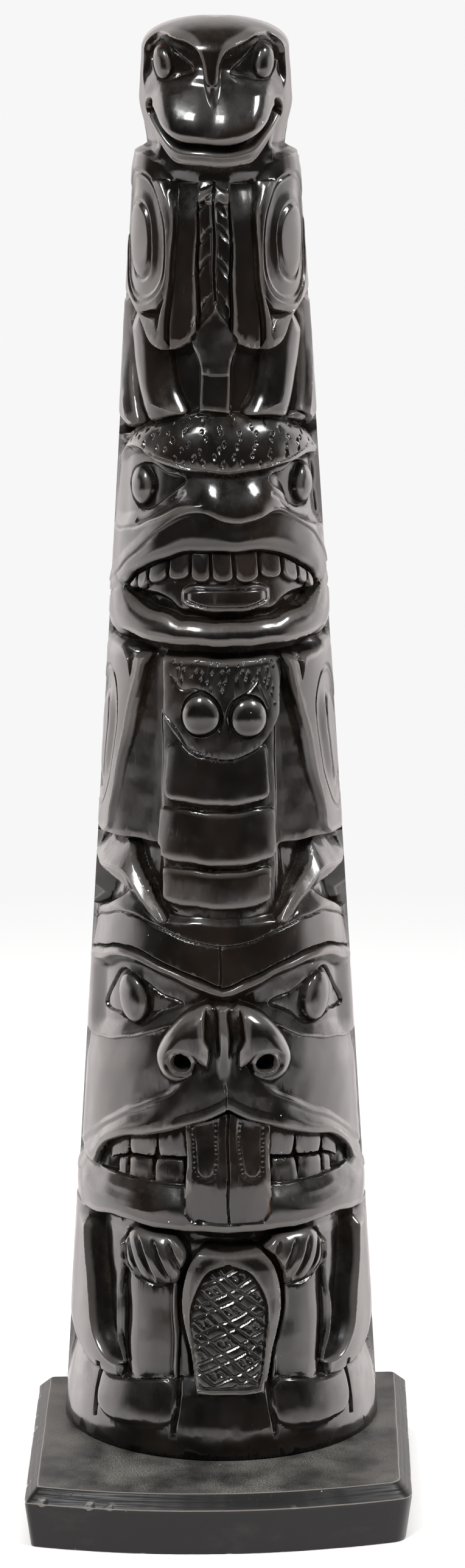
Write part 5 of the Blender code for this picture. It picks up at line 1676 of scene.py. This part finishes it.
# White paper that fades out into the room, and isn't mirrored, as the world below gives its reflection.
def makeFloor():
    size = studio["floorSize"]
    mesh = bpy.data.meshes.new("floor")
    corners = [(-size, -size, 0), (size, -size, 0), (size, size, 0), (-size, size, 0)]
    mesh.from_pydata(corners, [], [(0, 1, 2, 3)])
    floor = bpy.data.objects.new("floor", mesh)
    bpy.context.scene.collection.objects.link(floor)
    material, tree, shader = newMaterial("paleFloor")
    shader.inputs["Base Color"].default_value = studio["floorColour"]
    shader.inputs["Roughness"].default_value = 0.9
    shader.inputs["Specular IOR Level"].default_value = 0.0
    place = put(tree, "ShaderNodeTexCoord").outputs["Object"]
    far = put(tree, "ShaderNodeVectorMath", {0: place}, operation="LENGTH").outputs["Value"]
    away = fade(tree, far, studio["paperFrom"], studio["paperTo"])
    room = put(tree, "ShaderNodeBsdfTransparent")
    mirrored = put(tree, "ShaderNodeLightPath").outputs["Is Glossy Ray"]
    unseen = reckon(tree, "MAXIMUM", mirrored, away)
    choice = put(tree, "ShaderNodeMixShader", {0: unseen, 1: shader.outputs[0], 2: room.outputs[0]})
    tree.links.new(choice.outputs[0], tree.nodes["Material Output"].inputs["Surface"])
    mesh.materials.append(material)


# Square lamps aimed at the pole. The overhead one only fills and isn't mirrored.
def makeLamps():
    for name, place, size, power in studio["lamps"] + (studio["fill"],):
        lamp = bpy.data.lights.new(name, "AREA")
        lamp.energy = power
        lamp.size = size
        light = bpy.data.objects.new(name, lamp)
        light.location = place
        aim = Vector(studio["target"]) - Vector(place)
        light.rotation_euler = aim.to_track_quat("-Z", "Y").to_euler()
        bpy.context.scene.collection.objects.link(light)
        light.visible_glossy = name != studio["fill"][0]


# Plain room: pale to the camera. To the stone it is bright low down, at the sides and behind,
# and dark overhead and in front, where the photographer would stand.
def makeWorld():
    world = bpy.data.worlds.new("studio")
    world.use_nodes = True
    tree = world.node_tree
    tree.nodes.clear()
    way = put(tree, "ShaderNodeTexCoord").outputs["Generated"]
    parts = put(tree, "ShaderNodeSeparateXYZ", {0: way}).outputs
    aside = fade(tree, reckon(tree, "ABSOLUTE", parts["X"]), *studio["sideReach"])
    ahead = fade(tree, parts["Y"], *studio["frontReach"])
    paper = times(tree, ahead, studio["bright"] - studio["wall"])
    paper = reckon(tree, "ADD", paper, studio["wall"])
    paper = reckon(tree, "ADD", paper, times(tree, aside, studio["sidePaper"]))
    steep = times(tree, fade(tree, parts["Z"], *studio["below"]), studio["underfootLoss"])
    near = reckon(tree, "SUBTRACT", studio["underfoot"], steep)
    low = times(tree, fade(tree, parts["Z"], *studio["paperLine"]), times(tree, paper, near))
    besides = fade(tree, parts["Y"], *studio["wallFrom"])
    back = fade(tree, parts["Y"], *studio["rear"])
    limit = reckon(tree, "SUBTRACT", parts["Z"], times(tree, back, studio["rearRise"]))
    wall = times(tree, besides, fade(tree, limit, *studio["wallTop"]))
    glow = reckon(tree, "ADD", times(tree, aside, studio["sides"]), studio["wall"])
    wall = times(tree, wall, glow)
    mirrored = reckon(tree, "MAXIMUM", reckon(tree, "MAXIMUM", low, wall), studio["dark"])
    seen = put(tree, "ShaderNodeLightPath").outputs["Is Camera Ray"]
    strength = put(tree, "ShaderNodeMix", {0: seen, 2: mirrored, 3: studio["pale"]}).outputs[0]
    colour = blendColour(tree, seen, studio["tint"], (1, 1, 1, 1))
    light = put(tree, "ShaderNodeBackground", {"Color": colour, "Strength": strength})
    put(tree, "ShaderNodeOutputWorld", {"Surface": light.outputs[0]})
    bpy.context.scene.world = world


view = {
    "place": (0.0155, -1.099185, 0.45893),
    "turn": 0.66,             # degrees to the left, then down
    "down": 14.5256,
    "lens": 112.893,
    "sensor": 36.0,
    "farEnd": 10,
}


# Camera whose axes follow from its turn to the left and its tilt down.
def makeCamera():
    data = bpy.data.cameras.new("camera")
    data.lens = view["lens"]
    data.sensor_width = view["sensor"]
    data.clip_end = view["farEnd"]
    camera = bpy.data.objects.new("camera", data)
    turn = math.radians(view["turn"])
    down = math.radians(view["down"])
    right = Vector((math.cos(turn), math.sin(turn), 0))
    forward = Vector((-math.sin(turn) * math.cos(down), math.cos(turn) * math.cos(down), -math.sin(down)))
    up = right.cross(forward)
    placed = Matrix((right, up, -forward)).transposed().to_4x4()
    placed.translation = Vector(view["place"])
    camera.matrix_world = placed
    bpy.context.scene.collection.objects.link(camera)
    bpy.context.scene.camera = camera


bpy.context.scene.view_settings.view_transform = "Standard"
makeFloor()
makeLamps()
makeWorld()
makeCamera()
print("studio: set")
